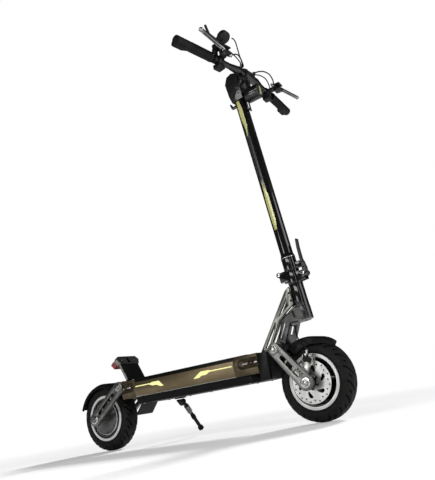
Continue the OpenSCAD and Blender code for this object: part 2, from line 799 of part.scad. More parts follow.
// ---- Wheels ----

// Tyre section: beads on the rim, rounded sides and a narrow flat crown
module tyre_section() {
    crown = 9;
    side = tyre_w / 2;
    bead = rim_w / 2 - 4;
    belly_r = seat_r + 20;
    arc = [for (a = [15:15:90]) [
        belly_r + (tyre_r - belly_r) * cos(a), crown + (side - crown) * sin(a)]];
    half = concat([[tyre_r, crown]], arc,
        [[belly_r - 8, side - 2], [seat_r + 8, bead], [seat_r, bead]]);
    polygon(concat(half, [for (i = [len(half) - 1:-1:0]) [half[i][0], -half[i][1]]]));
}

module tyre(x) {
    color(colour_rubber) translate([x, 0, axle_z]) along_y() rotate_extrude($fn = 96) difference() {
        tyre_section();
        translate([seat_r + 6, -rim_w / 2 + 12]) square([tyre_r - seat_r - 18, rim_w - 24]);
    }
}

module front_tyre() {
    tyre(front_x);
}

module rear_tyre() {
    tyre(rear_x);
}

// Rim section with its two flanges, from the well to the bead seats
module rim_section(inner) {
    half = rim_w / 2;
    polygon([
        [inner, -half + 4], [seat_r - 4, -half + 4], [seat_r - 2, -half], [flange_r, -half],
        [flange_r, -half + 3.9], [seat_r - seat_gap, -half + 3.9], [seat_r - seat_gap, half - 3.9],
        [flange_r, half - 3.9], [flange_r, half], [seat_r - 2, half], [seat_r - 4, half - 4],
        [inner, half - 4],
    ]);
}

hub_r = 25;
hub_half = 37;
bearing_r = 16;
bearing_w = 10;

module front_rim() {
    spokes = 5;
    color(colour_dark) translate([front_x, 0, axle_z]) along_y() difference() {
        union() {
            rotate_extrude($fn = 96) rim_section(seat_r - 8);
            cylinder(r = hub_r, h = 2 * hub_half, center = true);
            for (i = [0:spokes - 1]) rotate([0, 0, 72 * i]) translate([hub_r - 3, -9, -11])
                cube([seat_r - hub_r - 3, 18, 22]);
        }
        cylinder(r = bearing_r - 4, h = 200, center = true);
        for (s = [-1, 1]) translate([0, 0, s * (hub_half - bearing_w / 2 + 0.5)])
            cylinder(r = bearing_r, h = bearing_w + 1, center = true);
    }
}

module front_bearings() {
    color(colour_silver) both_sides() tube_y(front_x, axle_z, bearing_r - seat_gap, axle_r + run_gap,
        hub_half - bearing_w + 0.5, hub_half - 0.2);
}

module brake_disc() {
    disc_t = 2;
    windows = 6;
    holes = 18;
    color(colour_silver) {
        translate([front_x, -disc_y, axle_z]) along_y() difference() {
            cylinder(r = disc_r, h = disc_t, center = true, $fn = 128);
            cylinder(r = hub_r - 6, h = 10, center = true);
            for (i = [0:windows - 1]) rotate([0, 0, 60 * i]) translate([36, -5, -5]) cube([14, 10, 10]);
            for (i = [0:holes - 1]) rotate([0, 0, 20 * i]) translate([disc_r - 7, 0, -5]) cylinder(r = 2, h = 10);
            for (i = [0:5]) rotate([0, 0, 60 * i + 30]) translate([22, 0, -5]) cylinder(r = 2.5, h = 10);
        }
        // Carrier between the hub and the disc, and the six bolts
        tube_y(front_x, axle_z, hub_r, hub_r - 10, -disc_y + disc_t / 2 + 0.05, -hub_half - 0.05);
        for (i = [0:5]) translate([front_x + 22 * cos(60 * i + 30), 0, axle_z + 22 * sin(60 * i + 30)])
            bar_y(0, 0, 3.5, -disc_y - disc_t / 2 - 3.5, -disc_y - disc_t / 2 - 0.05);
    }
}

// Axle with its shoulders and a hexagonal nut at each end
module axle(x, shoulder_r, shoulder_y) {
    nut_t = 8;
    color(colour_silver) {
        bar_y(x, axle_z, axle_r, -arm_out - 6, arm_out + 6);
        both_sides() tube_y(x, axle_z, shoulder_r, axle_r - 1, shoulder_y, arm_in - 0.05);
        both_sides() difference() {
            translate([x, arm_out + 0.05, axle_z]) rotate([-90, 0, 0]) cylinder(r = 11, h = nut_t, $fn = 6);
            bar_y(x, axle_z, axle_r + seat_gap, arm_out - 1, arm_out + 20);
        }
    }
}

module front_axle() {
    axle(front_x, 10, disc_y + 8);
}

// ---- Swing arms ----

// One slotted arm from a pivot to an axle, between arm_in and arm_out
module swing_arm(px, pz, ax) {
    length = norm([ax - px, axle_z - pz]);
    ux = (ax - px) / length;
    uz = (axle_z - pz) / length;
    start = 40;
    stop = length - 38;
    difference() {
        link(px, pz, ax, axle_z, arm_w / 2 - 1, arm_w / 2 + 3, arm_in, arm_out);
        link(px + start * ux, pz + start * uz, px + stop * ux, pz + stop * uz, slot_w / 2, slot_w / 2,
            arm_in - 1, arm_out + 1);
        bar_y(px, pz, pivot_r + seat_gap, arm_in - 1, arm_out + 1);
        bar_y(ax, axle_z, axle_r + seat_gap, arm_in - 1, arm_out + 1);
    }
}

module front_arms() {
    color(colour_grey) both_sides() swing_arm(pivot_fx, pivot_fz, front_x);
}

// Shaft through a pivot housing, with a washer and a bolt head at each end
module pivot_shaft(x, z) {
    color(colour_silver) {
        bar_y(x, z, pivot_r, -arm_out, arm_out);
        both_sides() {
            tube_y(x, z, pivot_r + 6, pivot_r - 1, housing_half + side_gap, arm_in - 0.05);
            bar_y(x, z, 14, arm_out + 0.05, arm_out + 3);
            translate([x, arm_out + 2.9, z]) rotate([-90, 0, 0]) cylinder(r = 10, h = 6, $fn = 6);
        }
    }
}

module front_pivot_shaft() {
    pivot_shaft(pivot_fx, pivot_fz);
}

// ---- Front brake ----

caliper_a = 84;
caliper_d = 62;

// Places what is drawn on the caliper's middle, with x pointing away from the axle
module on_caliper() {
    translate([front_x, -disc_y, axle_z]) rotate([0, -caliper_a, 0]) translate([caliper_d, 0, 0]) children();
}

module brake_caliper() {
    slot = 5;
    color(colour_silver) {
        on_caliper() difference() {
            union() {
                translate([-10, -15, -17]) cube([34, 28, 34]);
                translate([8, -24, 4]) rotate([-90, 0, 0]) cylinder(r = 12, h = 10);
            }
            translate([-11, -slot / 2, -18]) cube([24, slot, 36]);
        }
        // Bracket from the caliper to the right-hand arm
        link(front_x + 6, axle_z + 52, front_x - 10, axle_z + 22, 11, 9, seat_gap - arm_in, -disc_y - 14);
    }
}

lever_pivot_x = 8;
lever_pivot_z = 4;

module caliper_lever() {
    color(colour_dark) on_caliper() {
        translate([lever_pivot_x, -24.4, lever_pivot_z]) rotate([90, 0, 0]) cylinder(r = 6, h = 3.6);
        translate([lever_pivot_x - 2, -28, lever_pivot_z - 4]) cube([24, 3.6, 8]);
    }
}

module front_fender() {
    fender_r = tyre_r + 12;
    fender_half = 42;
    fender_t = 3;
    color(colour_dark) translate([front_x, 0, axle_z]) along_y() {
        rotate([0, 0, 51]) rotate_extrude(angle = 66, $fn = 128) polygon([
            [fender_r - 14, -fender_half], [fender_r - 4, -fender_half + 4], [fender_r, -fender_half + 12],
            [fender_r, fender_half - 12], [fender_r - 4, fender_half - 4], [fender_r - 14, fender_half],
            [fender_r - 14, fender_half + 2], [fender_r + fender_t - 5, fender_half + 1],
            [fender_r + fender_t, fender_half - 10], [fender_r + fender_t, -fender_half + 10],
            [fender_r + fender_t - 5, -fender_half - 1], [fender_r - 14, -fender_half - 2],
        ]);
    }
    // Stays between the fender and the arms
    color(colour_dark) both_sides() {
        link(front_x - 52, axle_z + 120, pivot_fx + 18, pivot_fz - 23, 6, 7, arm_in - 8, arm_in - seat_gap);
        bar_y(front_x - 52, axle_z + 120, 5, fender_half, arm_in - seat_gap);
    }
}

brake_route = [
    [428, -8, 318], [436, -12, 312], [444, -24, 300], [452, -40, 284], [462, -54, 268],
    [474, -64, 252], [486, -70, 240], [493, -73.5, 229], [493, -73.7, 222],
];
module brake_cable() {
    color(colour_rubber) cable(brake_route, 2.5);
}

// ---- Rear wheel ----

drum_r = 72;
drum_half = 30;
cover_t = 7;
rear_shoulder_r = 10;

module motor_shell() {
    color(colour_dark) translate([rear_x, 0, axle_z]) along_y() {
        rotate_extrude($fn = 96) union() {
            rim_section(seat_r - 8);
            difference() {
                translate([drum_r - 7, -drum_half]) square([seat_r - drum_r + 6.5, 2 * drum_half]);
                translate([drum_r + 1, drum_half - 6]) square([20, 10]);
            }
        }
    }
}

module motor_covers() {
    cover_r = drum_r - 7 - seat_gap;
    color(colour_grey) both_sides() tube_y(rear_x, axle_z, cover_r, rear_shoulder_r + run_gap,
        drum_half - cover_t + 2, drum_half + 2);
}

module motor_stator() {
    slots = 18;
    color("goldenrod") translate([rear_x, 0, axle_z]) along_y() difference() {
        cylinder(r = 60, h = 36, center = true);
        cylinder(r = rear_shoulder_r + 0.1, h = 50, center = true);
        for (i = [0:slots - 1]) rotate([0, 0, 20 * i]) translate([40, -2, -30]) cube([14, 4, 60]);
    }
}

module rear_axle() {
    color(colour_silver) {
        bar_y(rear_x, axle_z, rear_shoulder_r, -arm_in + 0.05, arm_in - 0.05);
        both_sides() {
            bar_y(rear_x, axle_z, axle_r, arm_in - 1, arm_out + 6);
            difference() {
                translate([rear_x, arm_out + 0.05, axle_z]) rotate([-90, 0, 0]) cylinder(r = 11, h = 8, $fn = 6);
                bar_y(rear_x, axle_z, axle_r + seat_gap, arm_out - 1, arm_out + 20);
            }
        }
    }
}

module rear_arms() {
    color(colour_grey) both_sides() swing_arm(pivot_rx, pivot_rz, rear_x);
}

module rear_pivot_shaft() {
    pivot_shaft(pivot_rx, pivot_rz);
}

module rear_fender() {
    fender_r = tyre_r + 5;
    fender_half = 42;
    fender_t = 3;
    color(colour_dark) translate([rear_x, 0, axle_z]) along_y() {
        rotate([0, 0, 58]) rotate_extrude(angle = 102, $fn = 128) polygon([
            [fender_r - 14, -fender_half], [fender_r - 4, -fender_half + 4], [fender_r, -fender_half + 12],
            [fender_r, fender_half - 12], [fender_r - 4, fender_half - 4], [fender_r - 14, fender_half],
            [fender_r - 14, fender_half + 2], [fender_r + fender_t - 5, fender_half + 1],
            [fender_r + fender_t, fender_half - 10], [fender_r + fender_t, -fender_half + 10],
            [fender_r + fender_t - 5, -fender_half - 1], [fender_r - 14, -fender_half - 2],
        ]);
    }
    color(colour_dark) both_sides() {
        link(rear_x + 61, axle_z + 109, pivot_rx - 24, pivot_rz - 16, 6, 7, arm_in - 8, arm_in - seat_gap);
        bar_y(rear_x + 61, axle_z + 109, 5, fender_half, arm_in - seat_gap);
    }
}

// ---- Kickstand ----

stand_x = -159;
stand_y = tray_w / 2;
stand_z = tray_z - 16;
stand_lean = 45;
stand_l = 158;
stand_rake = 7;

module on_stand() {
    translate([stand_x, stand_y, stand_z]) rotate([stand_lean, 0, 0]) children();
}

module kickstand_bracket() {
    color(colour_dark) difference() {
        union() {
            translate([stand_x - 18, stand_y - 28, tray_z - 3.5]) cube([36, 26, 3.45]);
            on_stand() translate([-13, -14, -8]) cube([26, 6, 30]);
            on_stand() translate([0, -8, 0]) rotate([-90, 0, 0]) cylinder(r = 5, h = 15.6);
        }
        translate([stand_x - 40, stand_y - 60, tray_z - 0.05]) cube([80, 120, 60]);
    }
}

module kickstand_leg() {
    color(colour_dark) on_stand() difference() {
        union() {
            translate([0, -7.6, 0]) rotate([-90, 0, 0]) cylinder(r = 9, h = 15);
            rotate([0, stand_rake, 0]) {
                translate([0, 0, -stand_l]) cylinder(r = 7, h = stand_l);
                translate([0, 0, -stand_l * 0.62]) cylinder(r = 9, h = 16);
                translate([0, 0, -stand_l - 4]) cylinder(r = 11, h = 10);
            }
        }
        translate([0, -10, 0]) rotate([-90, 0, 0]) cylinder(r = 5 + run_gap, h = 20);
    }
}

deck_frame();
deck_mat();
bottom_plate();
front_end_cap();
rear_end_cap();
front_block();
deck_lights();
battery_pack();
motor_controller();
neck();
head_tube();
head_bearings();
kick_plate();
tail_lamp();
deck_screws();
charge_socket();
splash_guard();
kickstand_bracket();
harness_cable();
steerer();
fork_frame();
fold_base();
hinge_pin();
front_arms();
front_pivot_shaft();
front_axle();
brake_caliper();
caliper_lever();
front_fender();
brake_cable();
front_tyre();
front_rim();
brake_disc();
front_bearings();
rear_arms();
rear_pivot_shaft();
rear_axle();
rear_fender();
motor_stator();
rear_tyre();
motor_shell();
motor_covers();
kickstand_leg();
stem_tube();
stem_strips();
stem_head();
handlebar();
grips();
brake_perches();
brake_lever_right();
brake_lever_left();
throttle_body();
throttle_trigger();
switch_pods();
horn_button();
light_button();
headlight_body();
headlight_lens();
bar_cables();
latch_lever();
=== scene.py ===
"""Electric kick scooter: the finished surfaces and detailed pieces, built round the fixed frame."""

import json
from math import atan2, cos, hypot, pi, radians, sin

import bpy
from mathutils import Matrix, Vector

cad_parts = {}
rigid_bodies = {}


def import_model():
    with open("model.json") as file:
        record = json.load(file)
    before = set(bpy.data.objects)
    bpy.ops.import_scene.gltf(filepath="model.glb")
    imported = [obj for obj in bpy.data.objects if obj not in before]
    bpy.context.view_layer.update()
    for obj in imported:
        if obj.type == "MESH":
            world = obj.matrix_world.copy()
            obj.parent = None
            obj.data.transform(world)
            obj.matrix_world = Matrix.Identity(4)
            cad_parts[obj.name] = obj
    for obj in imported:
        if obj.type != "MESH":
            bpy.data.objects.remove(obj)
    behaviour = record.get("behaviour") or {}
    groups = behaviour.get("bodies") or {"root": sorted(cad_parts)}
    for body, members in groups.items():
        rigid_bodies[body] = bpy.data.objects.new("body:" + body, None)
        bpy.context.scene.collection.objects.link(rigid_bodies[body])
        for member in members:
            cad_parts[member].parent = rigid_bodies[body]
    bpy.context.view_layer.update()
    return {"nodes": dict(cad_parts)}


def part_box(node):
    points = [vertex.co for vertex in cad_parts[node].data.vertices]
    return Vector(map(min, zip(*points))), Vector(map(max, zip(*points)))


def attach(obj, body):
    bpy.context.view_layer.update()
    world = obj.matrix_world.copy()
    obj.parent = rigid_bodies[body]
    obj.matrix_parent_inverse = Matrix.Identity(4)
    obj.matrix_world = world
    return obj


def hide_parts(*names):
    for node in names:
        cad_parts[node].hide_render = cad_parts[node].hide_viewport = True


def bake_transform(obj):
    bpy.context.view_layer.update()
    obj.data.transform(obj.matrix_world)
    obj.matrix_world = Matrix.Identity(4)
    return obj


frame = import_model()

scene = bpy.context.scene
bodies = {name: node.parent.name.split(":")[1] for name, node in frame["nodes"].items()}
mm = 0.001

# ---- Camera ----
# It stands low, ahead of the front wheel on the scooter's right, and looks slightly upwards
# with the horizon tipped, so that the deck runs uphill across the frame.
camera_place = Vector((1.33825, -1.70366, 0.10715))
camera_yaw, camera_pitch, camera_roll = radians(32.01), radians(15.69), radians(-9.62)
gaze = Vector((-sin(camera_yaw) * cos(camera_pitch), cos(camera_yaw) * cos(camera_pitch), sin(camera_pitch)))
level = gaze.cross(Vector((0, 0, 1))).normalized()
upright = level.cross(gaze)
across = cos(camera_roll) * level + sin(camera_roll) * upright
upward = cos(camera_roll) * upright - sin(camera_roll) * level
camera = bpy.data.objects.new("camera", bpy.data.cameras.new("camera"))
scene.collection.objects.link(camera)
camera.matrix_world = Matrix.Translation(camera_place) @ Matrix((across, upward, -gaze)).transposed().to_4x4()
camera.data.sensor_width = 36
camera.data.lens = 42.73
camera.data.shift_x = -0.0463
camera.data.shift_y = -0.0030
camera.data.clip_end = 60
scene.camera = camera
scene.view_settings.view_transform = "Standard"


# ---- Floor and light ----
# A plain pale studio floor in a white surround. A soft key sun stands high on the left. A long
# strip and a low box light the right-hand side, a tall box and a thin strip the front.
def shade(code):
    """Turns an sRGB hex colour into the linear colour that a shader takes."""
    parts = [int(code[i:i + 2], 16) / 255 for i in (1, 3, 5)]
    return [p / 12.92 if p <= 0.04045 else ((p + 0.055) / 1.055) ** 2.4 for p in parts] + [1]


def add(tree, kind, links=None, **settings):
    """Adds a shader node, with its settings, its fixed socket values and its links."""
    node = tree.nodes.new("ShaderNode" + kind)
    for name, value in settings.items():
        setattr(node, name, value)
    for socket, source in (links or {}).items():
        if isinstance(source, bpy.types.NodeSocket):
            tree.links.new(source, node.inputs[socket])
        else:
            node.inputs[socket].default_value = source
    return node


def new_material(name):
    """An empty material with only its output node."""
    material = bpy.data.materials.new(name)
    material.use_nodes = True
    material.node_tree.nodes.clear()
    return material, material.node_tree


def deselect():
    """Leaves nothing selected, as every operator needs."""
    for other in bpy.context.selected_objects:
        other.select_set(False)


# Matt painted studio floor, with the faint cloudiness of rolled paint
floor_paint, tree = new_material("rolled_floor_paint")
where = add(tree, "TexCoord").outputs["Object"]
clouds = add(tree, "TexNoise", {"Vector": where, "Scale": 0.7, "Detail": 3.0})
tone = add(tree, "MixRGB", {"Fac": clouds.outputs["Fac"], "Color1": shade("#fafafa"),
                            "Color2": shade("#ffffff")})
roller = add(tree, "TexNoise", {"Vector": where, "Scale": 160.0, "Detail": 3.0})
relief = add(tree, "Bump", {"Height": roller.outputs["Fac"], "Strength": 0.2, "Distance": 0.0004})
paint = add(tree, "BsdfPrincipled", {"Base Color": tone.outputs["Color"], "Roughness": 0.72,
                                     "Normal": relief.outputs["Normal"], "Specular IOR Level": 0.25})
# The paint glows for the eye only, so that the floor stays as white as the backdrop
glow = add(tree, "Emission", {"Color": shade("#ffffff"), "Strength": 0.24})
lit_floor = add(tree, "AddShader", {0: paint.outputs["BSDF"], 1: glow.outputs[0]})
eye = add(tree, "LightPath").outputs["Is Camera Ray"]
# Away from the scooter it fades into the white of the backdrop, so no far edge shows
reach = add(tree, "VectorMath", {0: where}, operation="LENGTH").outputs["Value"]
fade = add(tree, "MapRange", {"Value": reach, "From Min": 0.7, "From Max": 2.6},
           interpolation_type="SMOOTHSTEP")
far_white = add(tree, "Emission", {"Color": shade("#ffffff"), "Strength": 1.0})
seen_floor = add(tree, "MixShader", {0: fade.outputs["Result"], 1: lit_floor.outputs[0],
                                     2: far_white.outputs[0]})
chosen = add(tree, "MixShader", {0: eye, 1: paint.outputs["BSDF"], 2: seen_floor.outputs[0]})
add(tree, "OutputMaterial", {"Surface": chosen.outputs[0]})

deselect()
bpy.ops.mesh.primitive_plane_add(size=40, location=(0, 0, -0.0005))
floor = bpy.context.object
floor.name = "studio_floor"
floor.data.materials.append(floor_paint)

world = bpy.data.worlds.new("studio_surround")
scene.world = world
world.use_nodes = True
world.node_tree.nodes.clear()
seen = add(world.node_tree, "LightPath").outputs["Is Camera Ray"]
surround = add(world.node_tree, "Background", {"Color": shade("#eef1f4"), "Strength": 0.06})
backdrop = add(world.node_tree, "Background", {"Color": shade("#ffffff"), "Strength": 1.0})
either = add(world.node_tree, "MixShader", {0: seen, 1: surround.outputs[0], 2: backdrop.outputs[0]})
add(world.node_tree, "OutputWorld", {"Surface": either.outputs[0]})


def soft_box(name, place, target, width, height, power):
    """A rectangular area light that faces a target point."""
    lamp = bpy.data.lights.new(name, "AREA")
    lamp.shape = "RECTANGLE"
    lamp.size, lamp.size_y, lamp.energy = width, height, power
    box = bpy.data.objects.new(name, lamp)
    scene.collection.objects.link(box)
    box.location = place
    box.rotation_euler = (Vector(target) - Vector(place)).to_track_quat("-Z", "Y").to_euler()
    return box


sun = bpy.data.objects.new("key_sun", bpy.data.lights.new("key_sun", "SUN"))
sun.data.energy = 2.8
sun.data.angle = radians(14)
sun.rotation_euler = Vector((-0.10, -0.80, -0.55)).to_track_quat("-Z", "Y").to_euler()
# Polished parts mirror the soft boxes alone, because a mirrored sun burns their edges out
sun.visible_glossy = False
scene.collection.objects.link(sun)
soft_box("strip_side", (0.2, -3.2, 1.9), (0.1, 0, 0.4), 3.0, 0.6, 32)
soft_box("low_side", (-0.6, -2.6, 0.5), (0.0, 0, 0.3), 1.2, 0.5, 8)
soft_box("fill_ahead", (3.0, 0.3, 1.3), (0.45, 0, 0.8), 1.4, 2.8, 30)
soft_box("strip_ahead", (2.4, -1.9, 1.1), (0.45, 0, 0.8), 0.2, 2.4, 6)


# ---- Deck extrusion and its end caps ----
# The middle is one hollow aluminium extrusion, the ends are cast caps bolted into it. All
# three are bead blasted, bronze anodised, and brushed along the deck's length.
def surface(name, light, dark, metallic, gloss, grain, relief_depth, patch=45.0, stretch=(1, 1, 1),
            coat=0.0, specks=None, sheen=0.0, specular=0.3):
    """A two-tone surface: cloudy colour, fine grain, uneven gloss. Sizes are in millimetres."""
    material, tree = new_material(name)
    where = add(tree, "TexCoord").outputs["Object"]
    along = add(tree, "Mapping", {"Vector": where, "Scale": stretch}).outputs["Vector"]
    fine = add(tree, "TexNoise", {"Vector": along, "Scale": 1000 / grain, "Detail": 5.0, "Roughness": 0.62})
    broad = add(tree, "TexNoise", {"Vector": where, "Scale": 1000 / patch, "Detail": 3.0})
    blend = add(tree, "Math", {0: fine.outputs["Fac"], 1: broad.outputs["Fac"]}, operation="MULTIPLY")
    level = add(tree, "MapRange", {"Value": blend.outputs["Value"], "From Min": 0.12, "From Max": 0.42})
    tone = add(tree, "MixRGB", {"Fac": level.outputs["Result"], "Color1": shade(dark),
                                "Color2": shade(light)})
    colour = tone.outputs["Color"]
    if specks:
        dots = add(tree, "TexVoronoi", {"Vector": where, "Scale": 1000 / specks[1]})
        spot = add(tree, "MapRange", {"Value": dots.outputs["Distance"], "From Min": 0.1, "From Max": 0.22})
        colour = add(tree, "MixRGB", {"Fac": spot.outputs["Result"], "Color1": shade(specks[0]),
                                      "Color2": colour}).outputs["Color"]
    rough = add(tree, "MapRange", {"Value": blend.outputs["Value"], "From Min": 0.1, "From Max": 0.45,
                                   "To Min": gloss[1], "To Max": gloss[0]})
    bump = add(tree, "Bump", {"Height": fine.outputs["Fac"], "Strength": 0.6, "Distance": relief_depth * mm})
    skin = add(tree, "BsdfPrincipled", {
        "Base Color": colour, "Roughness": rough.outputs["Result"], "Normal": bump.outputs["Normal"],
        "Metallic": metallic, "Coat Weight": coat, "Coat Roughness": 0.08, "Sheen Weight": sheen,
        "Specular IOR Level": specular})
    add(tree, "OutputMaterial", {"Surface": skin.outputs["BSDF"]})
    return material


def take(piece):
    """Selects one piece alone and makes it the active one."""
    deselect()
    piece.select_set(True)
    bpy.context.view_layer.objects.active = piece


def open_mesh(piece):
    """Takes a piece into edit mode with the whole of its mesh selected."""
    take(piece)
    bpy.ops.object.mode_set(mode="EDIT")
    bpy.ops.mesh.select_all(action="SELECT")


def close_mesh(outwards=False):
    """Goes back to object mode, after turning all the faces outwards if asked."""
    if outwards:
        bpy.ops.mesh.select_all(action="SELECT")
        bpy.ops.mesh.normals_make_consistent(inside=False)
    bpy.ops.object.mode_set(mode="OBJECT")


def finish_mesh(piece, smooth=35):
    """Smooths the shading over every edge that is flatter than the angle."""
    take(piece)
    bpy.ops.object.shade_smooth_by_angle(angle=radians(smooth))


def dress(node, *materials, edge=0.5, smooth=35, pick=None):
    """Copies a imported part, joins its loose faces, rounds its edges by so many millimetres and
    finishes it. pick says which of the materials a face takes from its middle and direction."""
    piece = bpy.data.objects.new(node + "_finished", frame["nodes"][node].data.copy())
    scene.collection.objects.link(piece)
    piece.data.materials.clear()
    for material in materials:
        piece.data.materials.append(material)
    open_mesh(piece)
    bpy.ops.mesh.remove_doubles(threshold=0.01 * mm)
    bpy.ops.mesh.dissolve_limited(angle_limit=radians(0.4))
    close_mesh(outwards=True)
    if edge:
        rounding = piece.modifiers.new("rounding", "BEVEL")
        rounding.width = edge * mm
        rounding.segments = 2
        rounding.limit_method = "ANGLE"
        rounding.angle_limit = radians(38)
        rounding.use_clamp_overlap = True
        bpy.ops.object.modifier_apply(modifier="rounding")
    for face in piece.data.polygons:
        face.material_index = pick(face.center, face.normal) if pick else 0
    finish_mesh(piece, smooth)
    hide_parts(node)
    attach(piece, bodies[node])
    return piece


# Bronze anodised aluminium, blasted and then brushed along the deck: warm grey brown, satin
bronze = surface("bronze_anodised_aluminium", "#978768", "#74674f", 0.8, (0.3, 0.44), 0.9, 0.03,
                 patch=160, stretch=(0.05, 1, 1))
# The caps are cast, so their anodising has a finer, duller grain
bronze_cast = surface("bronze_anodised_casting", "#7a6e57", "#463e30", 0.75, (0.34, 0.5), 1.2, 0.05, patch=60)
# Black anodised edge of the top face and the flange under the mat
black_anodised = surface("black_anodised_aluminium", "#232220", "#121211", 0.6, (0.3, 0.45), 1.0, 0.03,
                         patch=90, stretch=(0.1, 1, 1))
# Bare silver: where the anodising is milled off along the bottom edge
milled_line = surface("milled_aluminium_line", "#e6e6e2", "#b9b9b4", 1.0, (0.18, 0.3), 0.8, 0.01,
                      stretch=(0.04, 1, 1))

deck_low, deck_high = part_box("deck_frame")
black_from, bright_to = deck_high.z - 12 * mm, deck_low.z + 2.2 * mm


def deck_face(middle, normal):
    """The top and the upper band of the sides are black, the lowest band is milled bright."""
    if normal.z > 0.75 or (abs(middle.y) > 0.07 and middle.z > black_from):
        return 1
    if middle.z < bright_to:
        return 2
    return 0


def cap_face(middle, normal):
    """A cap's flat top is black like the deck's."""
    return 1 if normal.z > 0.9 and middle.z > deck_high.z - 2 * mm else 0


def level_cuts(piece, heights):
    """Cuts level lines round a piece, and leaves it in edit mode."""
    open_mesh(piece)
    for height in heights:
        bpy.ops.mesh.select_all(action="SELECT")
        bpy.ops.mesh.bisect(plane_co=(0, 0, height), plane_no=(0, 0, 1))


deck = dress("deck_frame", bronze, black_anodised, milled_line, edge=0.8)
level_cuts(deck, (bright_to, black_from))
close_mesh()
for face in deck.data.polygons:
    face.material_index = deck_face(face.center, face.normal)
for node in ("front_end_cap", "rear_end_cap"):
    dress(node, bronze_cast, black_anodised, edge=1.0, pick=cap_face)

# ---- Grip mat ----
# A moulded sheet of black rubber glued on the deck, with ribs across it that grip the soles.
# Each rib is a small rounded ridge, 8 mm from the next.
# Black natural rubber, moulded: dull, with a faint bloom
mat_rubber = surface("moulded_mat_rubber", "#161615", "#0a0a0a", 0.0, (0.55, 0.72), 1.4, 0.12, patch=70,
                     specular=0.35)
mat_low, mat_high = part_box("deck_mat")
rib_pitch, rib_height, rib_wide = 8 * mm, 1.5 * mm, 4.6 * mm
rib_count = int((mat_high.x - mat_low.x - 10 * mm) / rib_pitch)
rib_long = mat_high.y - mat_low.y - 12 * mm
deselect()
bpy.ops.mesh.primitive_cube_add(size=1)
mat = bpy.context.object
mat.name = "ribbed_mat"
base_top = mat_high.z - rib_height
base_size = Vector((mat_high.x - mat_low.x, mat_high.y - mat_low.y, base_top - mat_low.z))
mat.data.transform(Matrix.Translation(((mat_low.x + mat_high.x) / 2, 0, (mat_low.z + base_top) / 2))
                   @ Matrix.Diagonal((*base_size, 1)))
open_mesh(mat)
bpy.ops.mesh.bevel(offset=0.5 * mm, segments=2)
close_mesh()
# One rib: a bar with its top pinched in, then copied along the mat
deselect()
bpy.ops.mesh.primitive_cube_add(size=1)
rib = bpy.context.object
rib.data.transform(Matrix.Diagonal((rib_wide, rib_long, rib_height, 1)))
for corner in rib.data.vertices:
    if corner.co.z > 0:
        corner.co.x *= 0.55
        corner.co.y -= 0.8 * mm * (1 if corner.co.y > 0 else -1)
ribs = [rib]
for i in range(1, rib_count):
    ribs.append(bpy.data.objects.new("rib", rib.data.copy()))
    scene.collection.objects.link(ribs[-1])
for i, one in enumerate(ribs):
    one.data.transform(Matrix.Translation((mat_low.x + 7 * mm + rib_pitch * (i + 0.3), 0,
                                           mat_high.z - rib_height / 2 - 0.01 * mm)))


def join(pieces, name, smooth=35):
    """Joins pieces of one body into the first, under a new name."""
    deselect()
    for piece in pieces:
        piece.select_set(True)
    bpy.context.view_layer.objects.active = pieces[0]
    if len(pieces) > 1:
        bpy.ops.object.join()
    pieces[0].name = name
    finish_mesh(pieces[0], smooth)
    return pieces[0]


mat = join([mat] + ribs, "ribbed_mat", 20)
mat.data.materials.clear()
mat.data.materials.append(mat_rubber)
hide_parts("deck_mat")
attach(mat, "deck")

# ---- Side light strips and marker lamps ----
# A lit strip of pale yellow acrylic is let into each side of the deck in two lengths, whose
# inner ends widen into slanted blades. Chromed marker lamps lie in the caps' pockets.
# Frosted acrylic, lit from behind: even, with a faint cloudiness
strip_glow, tree = new_material("lit_acrylic_strip")
where = add(tree, "TexCoord").outputs["Object"]
cloud = add(tree, "TexNoise", {"Vector": where, "Scale": 60.0, "Detail": 2.0})
glow = add(tree, "MixRGB", {"Fac": cloud.outputs["Fac"], "Color1": shade("#d6d27e"),
                            "Color2": shade("#f4f2b4")})
acrylic = add(tree, "BsdfPrincipled", {"Base Color": glow.outputs["Color"], "Roughness": 0.3,
                                       "Emission Color": glow.outputs["Color"], "Emission Strength": 0.75,
                                       "Coat Weight": 0.4})
add(tree, "OutputMaterial", {"Surface": acrylic.outputs["BSDF"]})
# Bright chrome plate on the lamp ends
chrome = surface("chrome_plate", "#f0f0f0", "#c9c9c9", 1.0, (0.06, 0.14), 3.0, 0.004, patch=20)
# Smoked polycarbonate window over an amber lamp
smoked = surface("smoked_polycarbonate", "#2a2413", "#12100a", 0.0, (0.08, 0.16), 2.0, 0.005, coat=0.6)
amber = surface("amber_lens", "#d28a1e", "#8a4d0a", 0.0, (0.15, 0.25), 1.2, 0.01, coat=0.5)
lamp_axis_z, lamp_side = 0.222, 0.0885
curve_r, half_deck, belly_z = 0.090, 0.095, 0.216


def side_at(height):
    """How far out the bowed side of the deck lies at a height."""
    return half_deck - curve_r + (curve_r ** 2 - (height - belly_z) ** 2) ** 0.5


def flat_sheet(name, corners):
    """One flat face through a row of corners, in metres."""
    deselect()
    bpy.ops.mesh.primitive_circle_add(vertices=len(corners), radius=1, fill_type="NGON")
    sheet = bpy.context.object
    sheet.name = name
    for corner, place in zip(sheet.data.vertices, corners):
        corner.co = place
    return sheet


